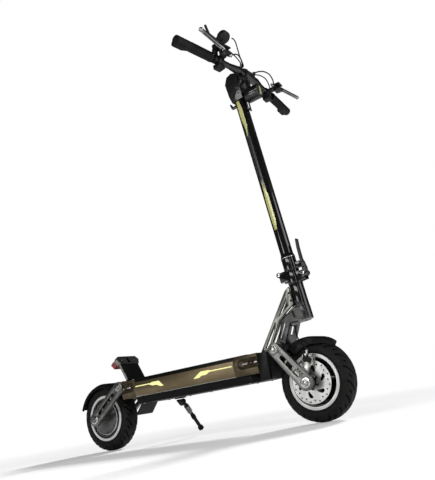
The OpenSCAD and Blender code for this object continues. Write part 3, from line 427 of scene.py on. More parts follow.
def side_blade(outline, side):
    """A thin plate that lies on the bowed side of the deck, cut to an outline in X and Z."""
    plate = flat_sheet("strip", [(x * mm, 0, z * mm) for x, z in outline])
    # Level cuts let it follow the bow
    level_cuts(plate, (0.2195, 0.2225, 0.2255))
    bpy.ops.mesh.select_all(action="SELECT")
    bpy.ops.mesh.extrude_region_move(TRANSFORM_OT_translate={"value": (0, -1, 0)})
    close_mesh()
    for corner in plate.data.vertices:
        proud = blade_proud if corner.co.y < -0.5 else -blade_sunk
        corner.co.y = side * (side_at(corner.co.z) + proud)
    open_mesh(plate)
    close_mesh(outwards=True)
    plate.data.materials.append(strip_glow)
    return plate


# Outlines in millimetres: the long thin bar, then the blade that it widens into
rear_blade = [(-234, 219.4), (-166, 219.4), (-148, 213.0), (-128, 213.0), (-110, 205.5), (-94, 205.5),
              (-116, 225.6), (-150, 225.6), (-156, 223.0), (-234, 223.0)]
front_blade = [(216, 219.4), (216, 223.0), (128, 223.0), (118, 226.0), (82, 226.0), (46, 206.0),
               (72, 206.0), (84, 212.0), (104, 212.0), (120, 219.4)]
blade_proud, blade_sunk = 0.35 * mm, 0.3 * mm
strips = join([side_blade(outline, side) for side in (-1, 1) for outline in (rear_blade, front_blade)],
              "side_light_strips", 20)
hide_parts("deck_lights")
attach(strips, "deck")


def turned_bar(name, profile, material, place, direction, steps=40):
    """A turned piece: a circle extruded and scaled through pairs of a distance and a radius in
    millimetres, then laid from a place along a direction."""
    deselect()
    profile = [(along * mm, radius * mm) for along, radius in profile]
    bpy.ops.mesh.primitive_circle_add(vertices=steps, radius=profile[0][1], fill_type="NGON")
    bar = bpy.context.object
    bar.name = name
    open_mesh(bar)
    bpy.ops.transform.translate(value=(0, 0, profile[0][0]))
    for (s0, r0), (s1, r1) in zip(profile, profile[1:]):
        bpy.ops.mesh.extrude_region_move(TRANSFORM_OT_translate={"value": (0, 0, s1 - s0)})
        bpy.ops.transform.resize(value=(r1 / r0, r1 / r0, 1))
    bpy.ops.mesh.select_all(action="SELECT")
    bpy.ops.mesh.remove_doubles(threshold=0.002 * mm)
    close_mesh(outwards=True)
    turn = Vector((0, 0, 1)).rotation_difference(Vector(direction)).to_matrix().to_4x4()
    bar.data.transform(Matrix.Translation(place) @ turn)
    bar.data.materials.append(material)
    return bar


marker_parts = []
for side in (-1, 1):
    # Where a lamp starts and how long it is, in millimetres, and which way it points
    for from_x, length, way in ((258, 59, 1), (-265, 38, -1)):
        start = Vector((from_x * mm, side * lamp_side, lamp_axis_z))
        ahead = Vector((way, 0, 0))
        window, cap = length * 0.36, length * 0.8
        spot = start + ahead * length * 0.6 * mm + Vector((0, side * 5.7 * mm, 0))
        marker_parts += [
            turned_bar("chrome_end", [(0, 4.2), (1, 5.4), (window - 1.2, 5.4), (window - 0.6, 4.7),
                                      (window, 5.9)], chrome, start, ahead),
            turned_bar("smoked_middle", [(window, 5.6), (window + 0.8, 6.0), (cap, 6.0), (cap + 0.8, 5.2)],
                       smoked, start, ahead),
            turned_bar("chrome_cap", [(cap, 4.8), (cap + 1, 5.6), (length - 2, 5.6), (length, 3.6)],
                       chrome, start, ahead),
            turned_bar("amber_spot", [(0, 2.3), (0.7, 2.0), (1, 1.1)], amber, spot, (0, side, 0), 20)]
markers = join(marker_parts, "marker_lamps", 30)
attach(markers, "deck")


# ---- Screws ----
# Black and zinc-plated socket-head screws hold the caps, the tray and the neck. One head is
# turned, rounded and given its hexagon socket, and every screw is a copy of it.
# Zinc plate on steel, bright with a grey haze
zinc = surface("zinc_plated_steel", "#c6c6c4", "#868684", 1.0, (0.16, 0.32), 0.7, 0.01, patch=9)
# Black oxide on steel
black_oxide = surface("black_oxide_steel", "#222226", "#101012", 0.7, (0.3, 0.45), 0.8, 0.01, patch=9)
deselect()
bpy.ops.mesh.primitive_cylinder_add(vertices=24, radius=1, depth=1)
head_master = bpy.context.object
head_master.name = "screw_head"
open_mesh(head_master)
bpy.ops.mesh.select_all(action="DESELECT")
close_mesh()
for edge in head_master.data.edges:
    ends = [head_master.data.vertices[i].co for i in edge.vertices]
    edge.select = all(end.z > 0.4 for end in ends)
bpy.ops.object.mode_set(mode="EDIT")
bpy.context.tool_settings.mesh_select_mode = (False, True, False)
bpy.ops.mesh.bevel(offset=0.16, segments=3)
close_mesh()
bpy.context.tool_settings.mesh_select_mode = (False, False, True)
for face in head_master.data.polygons:
    face.select = face.normal.z > 0.99 and face.center.z > 0.4
bpy.ops.object.mode_set(mode="EDIT")
bpy.ops.mesh.inset(thickness=0.32)
bpy.ops.mesh.extrude_region_move(TRANSFORM_OT_translate={"value": (0, 0, -0.45)})
close_mesh()
# The inner rings are drawn in to a hexagon, as a share of the head's radius
socket_reach = 0.6
for corner in head_master.data.vertices:
    reach = hypot(corner.co.x, corner.co.y)
    if 0.2 < reach < 0.62:
        turn = atan2(corner.co.y, corner.co.x)
        flat = socket_reach * cos(pi / 6) / cos((turn % (pi / 3)) - pi / 6)
        corner.co.x, corner.co.y = flat * cos(turn), flat * sin(turn)


def screws(name, body, material, spots):
    """Copies the screw head to each place, outward direction, radius and height in
    millimetres, and joins the copies."""
    heads = []
    for place, direction, radius, height in spots:
        head = bpy.data.objects.new("head", head_master.data.copy())
        scene.collection.objects.link(head)
        turn = Vector((0, 0, 1)).rotation_difference(Vector(direction)).to_matrix().to_4x4()
        middle = Vector(place) + Vector(direction).normalized() * height * mm / 2
        head.data.transform(Matrix.Translation(middle) @ turn
                            @ Matrix.Diagonal((radius * mm, radius * mm, height * mm, 1)))
        head.data.materials.append(material)
        heads.append(head)
    whole = join(heads, name, 30)
    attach(whole, body)
    return whole


tray_underside, tray_side, deck_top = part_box("bottom_plate")[0].z, 0.080, 0.249
up = Vector((0, 0, 1))
deck_spots, side_spots = [], []
for side in (-1, 1):
    out = Vector((0, side, 0))
    for x in (-0.22, -0.11, -0.009, 0.202, 0.264):
        deck_spots.append(((x, side * (tray_side - 9 * mm), tray_underside), -up, 3.5, 2))
    for x in (-0.252, 0.234):
        deck_spots.append(((x, side * (half_deck - 10 * mm), deck_top), up, 2.8, 2))
    for x, z in ((0.248, 0.167), (0.262, 0.175), (0.284, 0.167), (0.306, 0.167)):
        side_spots.append(((x, side * tray_side, z), out, 2.4, 1.2))
    for x, z in ((0.236, 0.214), (-0.252, 0.214), (-0.252, 0.228)):
        side_spots.append(((x, side * (side_at(z) - 0.4 * mm), z), out, 1.7, 0.9))
plate_screws = screws("deck_plate_screws", "deck", zinc, deck_spots)
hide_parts("deck_screws")
screws("cap_side_screws", "deck", black_oxide, side_spots)

# ---- Battery tray, front block and splash guard ----
# The tray is one pressed and powder-coated aluminium trough, screwed up under the deck. The
# block ahead of it is cast and black. A rubber flap keeps the spray off the rear end.
# Powder coat, fine textured black: small orange-peel bumps and a low sheen
powder_black = surface("black_powder_coat", "#111112", "#080809", 0.0, (0.4, 0.54), 0.9, 0.06, patch=80,
                       specular=0.15)
cast_black = surface("black_painted_casting", "#121213", "#080809", 0.0, (0.28, 0.42), 2.0, 0.12, patch=60,
                     specular=0.2)
flap_rubber = surface("moulded_flap_rubber", "#232323", "#101010", 0.0, (0.5, 0.66), 1.6, 0.1, patch=30)
dress("bottom_plate", powder_black, edge=1.2)
dress("front_block", cast_black, edge=1.5)
dress("splash_guard", flap_rubber, edge=0.8)
dress("charge_socket", powder_black, edge=0.5)

# ---- Battery and motor controller ----
# Inside the deck: the cells are shrink-wrapped in blue PVC film, and the controller sits in
# a finned aluminium die casting.
battery_film = surface("pvc_shrink_wrap", "#2f6fae", "#1d4c80", 0.0, (0.18, 0.3), 6.0, 0.2,
                       patch=40, coat=0.3)
die_cast = surface("die_cast_aluminium", "#c4c4c2", "#8f8f8d", 1.0, (0.35, 0.5), 1.2, 0.05, patch=25)
dress("battery_pack", battery_film, edge=3.0)
dress("motor_controller", die_cast, edge=0.4)

# ---- Kick plate and tail lamp ----
# The foot rest is cast aluminium in black, leaning back over the rear wheel. Its head is a
# grey anodised panel with two bolts and a dark slot, and a red lamp closes its rear side.
panel_grey = surface("grey_anodised_panel", "#444443", "#2a2a29", 0.3, (0.26, 0.4), 1.0, 0.03, patch=30)
edge_silver = surface("polished_edge", "#a2a29e", "#6c6c69", 1.0, (0.15, 0.28), 1.0, 0.01, patch=20)
kick_place = Matrix.Translation((-0.312, 0, 0.253)) @ Matrix.Rotation(radians(-27), 4, "Y")
kick_local = kick_place.inverted()


def kick_face(middle, normal):
    """The head is grey in front, the plate's two long sides are bright."""
    spot = kick_local @ middle
    facing = kick_local.to_3x3() @ normal
    if abs(facing.y) > 0.8 and abs(spot.y) > 0.0485:
        return 2
    if spot.z > 0.076 and facing.x > 0.3:
        return 1
    return 0


kick = dress("kick_plate", powder_black, panel_grey, edge_silver, edge=0.9, pick=kick_face)
kick_front = (kick_place.to_3x3() @ Vector((1, 0, 0))).normalized()
screws("kick_plate_bolts", "deck", zinc,
       [(kick_place @ Vector((0.004, y, 0.093)), kick_front, 4.6, 2.4) for y in (-0.034, 0.034)])
screws("kick_foot_bolts", "deck", black_oxide, [((-0.292, y, 0.253), up, 4.0, 2.2) for y in (-0.036, 0.036)])
# Red polycarbonate lamp cover, clear and glossy over small prisms
lamp_red, tree = new_material("red_polycarbonate")
where = add(tree, "TexCoord").outputs["Object"]
prisms = add(tree, "TexVoronoi", {"Vector": where, "Scale": 320.0})
tone = add(tree, "MixRGB", {"Fac": prisms.outputs["Distance"], "Color1": shade("#4a0603"),
                            "Color2": shade("#a51a0f")})
relief = add(tree, "Bump", {"Height": prisms.outputs["Distance"], "Strength": 0.5, "Distance": 0.0004})
cover = add(tree, "BsdfPrincipled", {
    "Base Color": tone.outputs["Color"], "Roughness": 0.16, "Coat Weight": 0.8,
    "Normal": relief.outputs["Normal"], "Emission Color": tone.outputs["Color"], "Emission Strength": 0.05})
add(tree, "OutputMaterial", {"Surface": cover.outputs["BSDF"]})
dress("tail_lamp", lamp_red, edge=2.0)

# ---- Neck and head tube ----
# Two cut aluminium side plates, blasted and silver anodised, carry the black head tube. The
# main harness leaves the deck between them.
neck_silver = surface("silver_anodised_plate", "#a9a8a1", "#74736d", 0.85, (0.3, 0.44), 1.1, 0.04, patch=50)
gloss_black = surface("gloss_black_paint", "#131314", "#080809", 0.0, (0.1, 0.2), 2.5, 0.01,
                      patch=60, coat=0.8)
dress("neck", neck_silver, edge=1.0)
dress("head_tube", gloss_black, edge=0.6)
neck_spots = []
for side in (-1, 1):
    for x, z in ((0.306, 0.257), (0.328, 0.256), (0.444, 0.424), (0.447, 0.398)):
        neck_spots.append(((x, side * 0.024, z), (0, side, 0), 3.6, 2.6))
screws("neck_bolts", "deck", black_oxide, neck_spots)


def give_finish(node, material):
    """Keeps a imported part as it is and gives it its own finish."""
    part = frame["nodes"][node]
    part.data.materials.clear()
    part.data.materials.append(material)
    for face in part.data.polygons:
        face.material_index = 0


ground_steel = surface("ground_bearing_steel", "#e2e2e2", "#a9a9a9", 1.0, (0.1, 0.22), 0.6, 0.005,
                       stretch=(1, 0.1, 1))
for node in ("head_bearings", "front_bearings", "steerer"):
    give_finish(node, ground_steel)
# PVC cable jacket, soft black with a slight sheen
jacket = surface("pvc_cable_jacket", "#121212", "#090909", 0.0, (0.46, 0.6), 1.5, 0.03, patch=30)


def route_curve(points, ways=6):
    """Points of one smooth curve through listed points, in metres."""
    run = [Vector(p) * mm for p in points]
    run = [2 * run[0] - run[1]] + run + [2 * run[-1] - run[-2]]
    smooth = []
    for a, b, c, d in zip(run, run[1:], run[2:], run[3:]):
        for k in range(ways):
            t = k / ways
            smooth.append(0.5 * (2 * b + (c - a) * t + (2 * a - 5 * b + 4 * c - d) * t * t
                                 + (3 * b - a - 3 * c + d) * t * t * t))
    smooth.append(run[-2])
    return smooth


def cable(name, points, radius, material):
    """A round cable swept along a smooth route and made a mesh, in millimetres."""
    data = bpy.data.curves.new(name, "CURVE")
    data.dimensions = "3D"
    data.bevel_depth = radius * mm
    data.bevel_resolution = 3
    data.use_fill_caps = True
    route = route_curve(points)
    line = data.splines.new("POLY")
    line.points.add(len(route) - 1)
    for point, place in zip(line.points, route):
        point.co = (*place, 1)
    piece = bpy.data.objects.new(name, data)
    scene.collection.objects.link(piece)
    take(piece)
    bpy.ops.object.convert(target="MESH")
    piece = bpy.context.object
    piece.data.materials.clear()
    piece.data.materials.append(material)
    finish_mesh(piece, 50)
    return piece


harness = cable("main_harness", [
    (298, 0, 249.8), (299, 0, 262), (306, 0, 274), (324, 0, 296), (346, 0, 324), (368, 0, 352),
    (390, 0, 380), (408, 0, 402), (424, 0, 420), (438, 0, 432)], 4, jacket)
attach(harness, "deck")
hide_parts("harness_cable")

# ---- Fork and crown ----
# The fork is one black painted casting: crown, hollow beam with its windows, and the front
# pivot housing. The crown's sides carry grey panels, and three screws close it below.
fork_black = surface("satin_black_casting", "#151516", "#0a0a0b", 0.0, (0.22, 0.36), 2.0, 0.08, patch=50,
                     coat=0.25, specular=0.6)
rake = radians(6.5)
steering_axis = Matrix.Translation((0.476, 0, 0.350)) @ Matrix.Rotation(-rake, 4, "Y")
axis_local = steering_axis.inverted()
axis_up = (steering_axis.to_3x3() @ Vector((0, 0, 1))).normalized()


def fork_face(middle, normal):
    """The flat cheeks of the crown behind the axis are grey."""
    spot = axis_local @ middle
    facing = axis_local.to_3x3() @ normal
    if abs(facing.y) > 0.9 and -0.018 < spot.z < 0.018 and spot.x < -0.003 and abs(spot.y) > 0.024:
        return 1
    return 0


cheek_grey = surface("grey_painted_cheek", "#6c6c6a", "#474745", 0.2, (0.34, 0.46), 1.2, 0.04, patch=30)
fork = dress("fork_frame", fork_black, cheek_grey, edge=0.8, pick=fork_face)
crown_spots = []
for turn in (0, 120, 240):
    place = steering_axis @ Vector((0.017 * cos(radians(turn)), 0.017 * sin(radians(turn)), -0.022))
    crown_spots.append((place, -axis_up, 3.4, 3.0))
screws("crown_screws", "steering", zinc, crown_spots)

# ---- Folding joint, its pin and the latch ----
# The hinge base and the stem's foot meet on a flat joint. The pin is ground steel, and the
# long latch lever in front is grey cast aluminium that pulls the joint shut.
latch_grey = surface("grey_cast_lever", "#56565a", "#353538", 0.5, (0.28, 0.42), 1.8, 0.06, patch=35)
dress("fold_base", gloss_black, edge=0.8)
dress("hinge_pin", ground_steel, edge=0.3)
dress("latch_lever", latch_grey, edge=1.2)
latch_spots = []
for side in (-1, 1):
    for up_axis in (0.146, 0.166):
        place = steering_axis @ Vector((0.0505, side * 9 * mm, up_axis))
        latch_spots.append((place, (0, side, 0), 2.4, 1.4))
screws("latch_screws", "latch", black_oxide, latch_spots)

# ---- Swing arms, pivots and axles ----
# The four arms are forged and machined aluminium, blasted silver grey, each with a long slot.
# Steel shafts run through the pivot housings, and hexagon nuts with washers hold them.
arm_silver = surface("blasted_forged_aluminium", "#a3a39f", "#696967", 0.9, (0.28, 0.42), 1.2, 0.05,
                     patch=35)
# Painted shade: a dark grey that stands for the shade inside the arms' slots
slot_painted_shade = surface("machined_slot_shadow", "#2a2a29", "#151515", 0.6, (0.4, 0.55), 1.0, 0.03, patch=20)
arm_in_y, arm_out_y, axle_end_y = 0.076, 0.090, 0.096
pivots = {"front": Vector((0.385, 0, 0.248)), "rear": Vector((-0.333, 0, 0.232))}
axles = {"front": Vector((0.478, 0, 0.1275)), "rear": Vector((-0.478, 0, 0.1275))}


def arm_face(end):
    """Inside its slot and on its two long rims an arm takes a painted shade: darker, and with a rougher
    finish.
    """
    start, stop = pivots[end], axles[end]
    run = (stop - start).normalized()

    def pick(middle, normal):
        off = middle - start
        off.y = 0
        along = off.dot(run)
        aside = (off - along * run).length
        if abs(normal.y) < 0.4 and aside < 0.0085 and 0.03 < along < (stop - start).length - 0.03:
            return 1
        return 0
    return pick


def rounded_block(offset, segments):
    """A cube one metre wide with bevelled edges, to be scaled to a piece's size."""
    deselect()
    bpy.ops.mesh.primitive_cube_add(size=1)
    block = bpy.context.object
    open_mesh(block)
    bpy.ops.mesh.bevel(offset=offset, segments=segments)
    close_mesh()
    return block


tie_from = 0.058
for end in ("front", "rear"):
    body = end + "_arm"
    arms = dress(end + "_arms", arm_silver, slot_painted_shade, edge=1.4, pick=arm_face(end))
    shaft = dress(end + "_pivot_shaft", zinc, edge=0.6)
    start, stop = pivots[end], axles[end]
    run = (stop - start).normalized()
    rise = Vector((-run.z, 0, run.x)) * (1 if end == "front" else -1)
    along_arm = Matrix((run, Vector((0, 1, 0)), run.cross(Vector((0, 1, 0))))).transposed().to_4x4()
    trim = []
    for side in (-1, 1):
        face_y, out = Vector((0, side * arm_out_y, 0)), (0, side, 0)
        # A stepped collar round the pivot, and one round the axle
        trim.append(turned_bar("pivot_collar", [(0, 17.5), (1.2, 17.5), (1.8, 16.5), (1.8, 14.4), (2.6, 14.2),
                                                (2.6, 10)], arm_silver, start + face_y, out))
        trim.append(turned_bar("dropout_collar", [(0, 17), (0.9, 16.6), (1.4, 15.6), (1.4, 12)],
                               chrome, stop + face_y, out))
        # A cross web ties the slot's two sides, and a bridge tab stands near its upper end
        slot_mid = Vector((0, side * (arm_in_y + 7 * mm), 0))
        for spot, long, deep in ((stop - run * tie_from, 9, 9), (start + run * tie_from, 7, 8)):
            tie = rounded_block(0.12, 2)
            tie.data.transform(Matrix.Translation(spot + slot_mid) @ along_arm
                               @ Matrix.Diagonal((long * mm, deep * mm, 15 * mm, 1)))
            tie.data.materials.append(arm_silver)
            trim.append(tie)
    trim = join(trim, end + "_arm_trim", 32)
    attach(trim, body)
    spots = []
    for side in (-1, 1):
        face_y = Vector((0, side * arm_out_y, 0))
        for along, above in ((0.026, 0.013), (0.036, 0.0135), (0.046, 0.0135)):
            spots.append((stop - run * along + rise * above + face_y, (0, side, 0), 2.3, 1.2))
    screws(end + "_arm_screws", body, black_oxide, spots)
for end in ("front", "rear"):
    axle = dress(end + "_axle", zinc, edge=0.6)
    tips = []
    for side in (-1, 1):
        tip = axles[end] + Vector((0, side * axle_end_y, 0))
        tips.append(turned_bar("axle_tip", [(-5, 5.9), (-1, 5.9), (-0.1, 5.0), (-0.1, 2.5), (-1.1, 2.4)],
                               chrome, tip, (0, side, 0), 28))
    tips = join(tips, end + "_axle_tips", 30)
    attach(tips, end + "_arm")

# ---- Front brake caliper, its lever and cable ----
# A cast and machined mechanical caliper in silver, bolted to a bracket on the right-hand arm.
# A black lever pulls it, on a cable that comes down from the fork to a barrel adjuster.
caliper_silver = surface("machined_caliper_alloy", "#dcdcd8", "#9d9d99", 1.0, (0.2, 0.34), 1.0, 0.04,
                         patch=14)
dress("brake_caliper", caliper_silver, edge=2.2)
dress("caliper_lever", black_oxide, edge=0.9)
caliper_turn = radians(84)
caliper_out = Vector((cos(caliper_turn), 0, sin(caliper_turn)))
caliper_along = Vector((-sin(caliper_turn), 0, cos(caliper_turn)))
disc_mid = axles["front"] + Vector((0, -0.0475, 0))
caliper_mid = disc_mid + caliper_out * 0.062
to_right = Vector((0, -1, 0))


def on_caliper(out, y, along):
    """A point of the caliper: outwards from the axle, across, and round the disc."""
    return caliper_mid + caliper_out * out + Vector((0, y, 0)) - caliper_along * along


fittings = [
    turned_bar("piston_cap", [(0, 10.5), (1.6, 10.5), (2.4, 9.6), (2.4, 6.5), (1.4, 6.0), (1.4, 2.6),
                              (2.6, 2.4), (2.6, 1.0)],
               black_oxide, on_caliper(0.008, -0.0240, 0.004), to_right),
    turned_bar("adjuster", [(0, 3.4), (7, 3.4), (7.4, 4.6), (12, 4.6), (12.6, 3.2), (16, 2.9)],
               caliper_silver, (0.493, -0.0737, 0.214), (-0.05, 0.2, 1), 24),
    turned_bar("cable_anchor", [(-4, 4.0), (4, 4.0), (4.8, 3.2)],
               zinc, on_caliper(0.024, -0.0262, 0.003), to_right, 24),
]
for along in (-0.0115, 0.0115):
    fittings.append(turned_bar("slide_bolt", [(0, 4.6), (4.5, 4.6), (5.4, 3.8), (5.4, 2.0), (3.4, 1.9)],
                               zinc, on_caliper(0.020, -0.0145, along), to_right, 28))
caliper_fittings = join(fittings, "caliper_fittings", 32)
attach(caliper_fittings, "front_arm")
brake_line = cable("front_brake_cable", [
    (428, -8, 318), (436, -12, 312), (444, -24, 300), (452, -40, 284), (462, -54, 268),
    (474, -64, 252), (486, -70, 240), (493, -73.5, 229), (493, -73.7, 222)], 2.5, jacket)
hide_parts("brake_cable")
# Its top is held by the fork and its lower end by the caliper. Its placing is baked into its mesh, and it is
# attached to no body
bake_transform(brake_line)

# ---- Fenders ----
# Injection-moulded glossy black ABS. The front one runs out to a point over the tyre, and
# both have a return lip along their edges.
gloss_plastic = surface("gloss_black_abs", "#131314", "#0a0a0b", 0.0, (0.34, 0.46), 3.5, 0.03, patch=70,
                        coat=0.05, specular=0.12)
inner_plastic = surface("matt_black_abs_inside", "#111111", "#090909", 0.0, (0.5, 0.65), 2.0, 0.08, patch=50)


def fender_face(end):
    """A fender's inner side, which looks at the axle, is matt."""
    def pick(middle, normal):
        outward = middle - axles[end]
        outward.y = 0
        return 1 if normal.dot(outward.normalized()) < -0.2 else 0
    return pick


front_fender = dress("front_fender", gloss_plastic, inner_plastic, edge=0.7, pick=fender_face("front"))
tip_turn, taper_turn, skirt_turn = radians(51), radians(27), radians(62)
# Over the taper the nose widens from a point to the full width
for corner in front_fender.data.vertices:
    off = corner.co - axles["front"]
    turn = atan2(off.z, off.x)
    reach = hypot(off.x, off.z)
    if reach > 0.120 and turn < tip_turn + taper_turn:
        share = max(0.0, (turn - tip_turn) / taper_turn)
        corner.co.y *= 0.10 + 0.90 * share ** 0.6
    # The side skirts grow deeper towards the arms
    if 0.120 < reach < 0.1275 and abs(corner.co.y) < 0.050:
        deeper = 24 * mm * max(0.0, min(1.0, (turn - skirt_turn) / radians(50)))
        corner.co -= Vector((off.x, 0, off.z)).normalized() * deeper
rear_fender = dress("rear_fender", gloss_plastic, inner_plastic, edge=0.7, pick=fender_face("rear"))


# ---- Tyres ----
# Tubeless rubber tyres for road and gravel. The tread is moulded with slanted grooves that
# alternate from side to side, small sipes between them and a raised sidewall bead.
tyre_rubber = surface("vulcanised_tyre_rubber", "#1f1f1e", "#121211", 0.0, (0.56, 0.7), 1.8, 0.14, patch=26,
                      specular=0.2)
# Painted shade: near-black rubber that stands for the shade in the sunk grooves
groove_painted_shade = surface("tyre_groove_rubber", "#050505", "#030303", 0.0, (0.7, 0.8), 2.0, 0.1, patch=20,
                        specular=0.05)
tyre_out, tyre_half, seat_radius, belly = 0.1275, 0.035, 0.0802, 0.100
crown_half, tread_from = 0.009, 0.1085
tyre_steps, groove_count = 192, 16
period = tyre_steps // groove_count
# How far across the tread one step round the tyre leans, and how deep the two cuts go
lean_pitch, groove_deep, sipe_deep = 3.4 * mm, 2.1 * mm, 1.3 * mm


def tyre_profile():
    """The closed section as points of a radius and a place across, fine over the tread."""
    half = [(tyre_out, crown_half * k / 3) for k in range(3)]
    for k in range(13):
        turn = radians(7.5 * k)
        half.append((belly + (tyre_out - belly) * cos(turn),
                     crown_half + (tyre_half - crown_half) * sin(turn)))
    half += [(0.0955, 0.0348), (0.0935, 0.0336), (0.0922, 0.0342), (0.0900, 0.0328), (0.0881, 0.0292),
             (seat_radius, 0.0290)]
    return half + [(seat_radius, 0.0)] + [(radius, -across) for radius, across in reversed(half[1:])]


def tread_cut(step, across, side):
    """How deep the tread is cut at a step round the tyre and a distance from its middle."""
    phase = (step * side + across / lean_pitch + (period / 2 if side > 0 else 0)) % period
    if 0.004 < across < 0.0325 and phase < 2.0:
        return groove_deep
    if 0.016 < across < 0.031 and abs(phase - period * 0.58) < 0.75:
        return sipe_deep
    return 0.0


def make_tyre(end):
    """A tyre spun from its section, with the tread sunk into it and painted shade in its grooves."""
    deselect()
    profile = tyre_profile()
    bpy.ops.mesh.primitive_circle_add(vertices=len(profile), radius=1, fill_type="NOTHING")
    tyre = bpy.context.object
    tyre.name = end + "_tyre_treaded"
    for corner, (radius, across) in zip(tyre.data.vertices, profile):
        corner.co = (radius, across, 0)
    open_mesh(tyre)
    bpy.ops.mesh.spin(steps=tyre_steps, angle=2 * pi, center=(0, 0, 0), axis=(0, 1, 0))
    bpy.ops.mesh.select_all(action="SELECT")
    bpy.ops.mesh.remove_doubles(threshold=0.01 * mm)
    close_mesh(outwards=True)
    sunk = set()
    for corner in tyre.data.vertices:
        if hypot(corner.co.x, corner.co.z) < tread_from:
            continue
        side = 1 if corner.co.y > 0 else -1
        across = abs(corner.co.y)
        step = round(atan2(corner.co.z, corner.co.x) / (2 * pi) * tyre_steps)
        deep = tread_cut(step, across, side)
        if deep:
            outward = Vector((corner.co.x, 0, corner.co.z)).normalized()
            slope = min(1.0, max(0.0, (across - crown_half) / (tyre_half - crown_half)))
            direction = (outward * (1 - 0.6 * slope) + Vector((0, side, 0)) * 0.6 * slope).normalized()
            corner.co -= direction * deep
            sunk.add(corner.index)
    tyre.data.materials.append(tyre_rubber)
    tyre.data.materials.append(groove_painted_shade)
    for face in tyre.data.polygons:
        # Faces sunk into the tread take the painted shade
        face.material_index = 1 if sum(i in sunk for i in face.vertices) >= 3 else 0
    tyre.data.transform(Matrix.Translation(axles[end]))
    finish_mesh(tyre, 24)
    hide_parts(end + "_tyre")
    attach(tyre, end + "_wheel")


make_tyre("front")
make_tyre("rear")

# ---- Front rim and rear motor shell ----
# Cast aluminium, gloss black, with the flanges' outer lips machined bright after painting.
bright_lip = surface("machined_rim_lip", "#ffffff", "#e4e4e2", 0.15, (0.24, 0.36), 0.9, 0.01, patch=40)


def lip_face(end, inner, across):
    """The outer lips, beyond a radius and a distance from the middle, are machined bright."""
    def pick(middle, normal):
        off = middle - axles[end]
        outer_face = abs(off.y) > 0.0325 and abs(normal.y) > 0.9
        return 1 if outer_face or (hypot(off.x, off.z) > inner and abs(off.y) > across) else 0
    return pick


front_rim = dress("front_rim", gloss_black, bright_lip, edge=0.8, pick=lip_face("front", 0.0775, 0.0278))
# A thin cast web closes the gaps between the spokes on the hub's left side. Its matt black also stands in as
# painted shade seen through the disc's holes and windows
deselect()
bpy.ops.mesh.primitive_torus_add(major_segments=72, minor_segments=12,
                                 major_radius=50.5 * mm, minor_radius=22.5 * mm)
web = bpy.context.object
web.name = "front_rim_web"
web_flatness = 0.07
for corner in web.data.vertices:
    corner.co.z *= web_flatness
on_its_side = Matrix.Rotation(radians(90), 4, "X")
web.data.transform(Matrix.Translation(axles["front"] + Vector((0, 12 * mm, 0))) @ on_its_side)
web.data.materials.append(inner_plastic)
finish_mesh(web, 40)
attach(web, "front_wheel")
shell = dress("motor_shell", gloss_black, bright_lip, edge=0.8, pick=lip_face("rear", 0.0835, 0.0278))
# A rubber valve with its cap points from the rim bed towards the axle
valve_turn = radians(35)
inwards = Vector((-cos(valve_turn), 0, -sin(valve_turn)))
valve = turned_bar("front_valve", [(0, 3.6), (3, 3.2), (4, 2.6), (9, 2.6), (9.5, 3.4), (13, 3.4), (14, 2.2)],
                   flap_rubber, axles["front"] - inwards * 0.0722 + Vector((0, -0.02, 0)), inwards, 20)
finish_mesh(valve, 30)
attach(valve, "front_wheel")

# ---- Brake disc ----
# Stamped and ground stainless steel on a black carrier with six bolts. Two staggered rings
# of holes and six triangular windows shed heat and dirt.
disc_steel = surface("ground_stainless_disc", "#dcdcda", "#b4b4b2", 1.0, (0.3, 0.42), 0.7, 0.01, patch=30)
disc_radius, disc_thick = 0.068, 2 * mm
deselect()
bpy.ops.mesh.primitive_cylinder_add(vertices=144, radius=disc_radius, depth=disc_thick)
disc = bpy.context.object
disc.name = "drilled_disc"
cutters = []


def cutter(outline):
    """A tall prism on an outline in the disc's own plane, to cut a window through it."""
    prism = flat_sheet("window", [(x, y, -0.01) for x, y in outline])
    open_mesh(prism)
    bpy.ops.mesh.extrude_region_move(TRANSFORM_OT_translate={"value": (0, 0, 0.02)})
    close_mesh(outwards=True)
    cutters.append(prism)


def ring_point(radius, turn):
    """The point at a radius in millimetres and a turn in degrees round the disc."""
    return radius * mm * cos(radians(turn)), radius * mm * sin(radians(turn))


# One triangular window, as radii and turns, repeated six times round the disc
window = [(49, -3), (51, 4), (50, 11), (46, 14), (41, 9), (33, -4), (31, -13), (35, -16), (43, -9)]
for i in range(6):
    cutter([ring_point(radius, turn + 60 * i + 12) for radius, turn in window])
hole_radius, bore_radius, outer_ring, inner_ring = 2.8, 19, 62.5, 57.0
for i in range(24):
    hole_x, hole_y = ring_point(outer_ring if i % 2 else inner_ring, 15 * i)
    rim_points = [ring_point(hole_radius, 30 * k) for k in range(12)]
    cutter([(hole_x + x, hole_y + y) for x, y in rim_points])
cutter([ring_point(bore_radius, 7.5 * k) for k in range(48)])
windows = join(cutters, "disc_windows", 30)
cut = disc.modifiers.new("windows", "BOOLEAN")
cut.operation = "DIFFERENCE"
cut.object = windows
cut.solver = "EXACT"
take(disc)
bpy.ops.object.modifier_apply(modifier="windows")
bpy.data.objects.remove(windows)
disc.data.transform(Matrix.Translation(disc_mid) @ on_its_side)
disc.data.materials.clear()
disc.data.materials.append(disc_steel)
finish_mesh(disc, 30)
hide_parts("brake_disc")
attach(disc, "front_wheel")
carrier = [turned_bar("disc_carrier", [(0, 25), (8.6, 25), (9.3, 24), (9.3, 17)],
                      black_oxide, axles["front"] + to_right * 0.0372, to_right, 60),
           turned_bar("hub_face", [(0, 19), (4, 19), (5, 18), (5, 11), (3, 10.5)],
                      gloss_black, axles["front"] + to_right * 0.0482, to_right, 48)]
carrier = join(carrier, "disc_carrier", 30)
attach(carrier, "front_wheel")


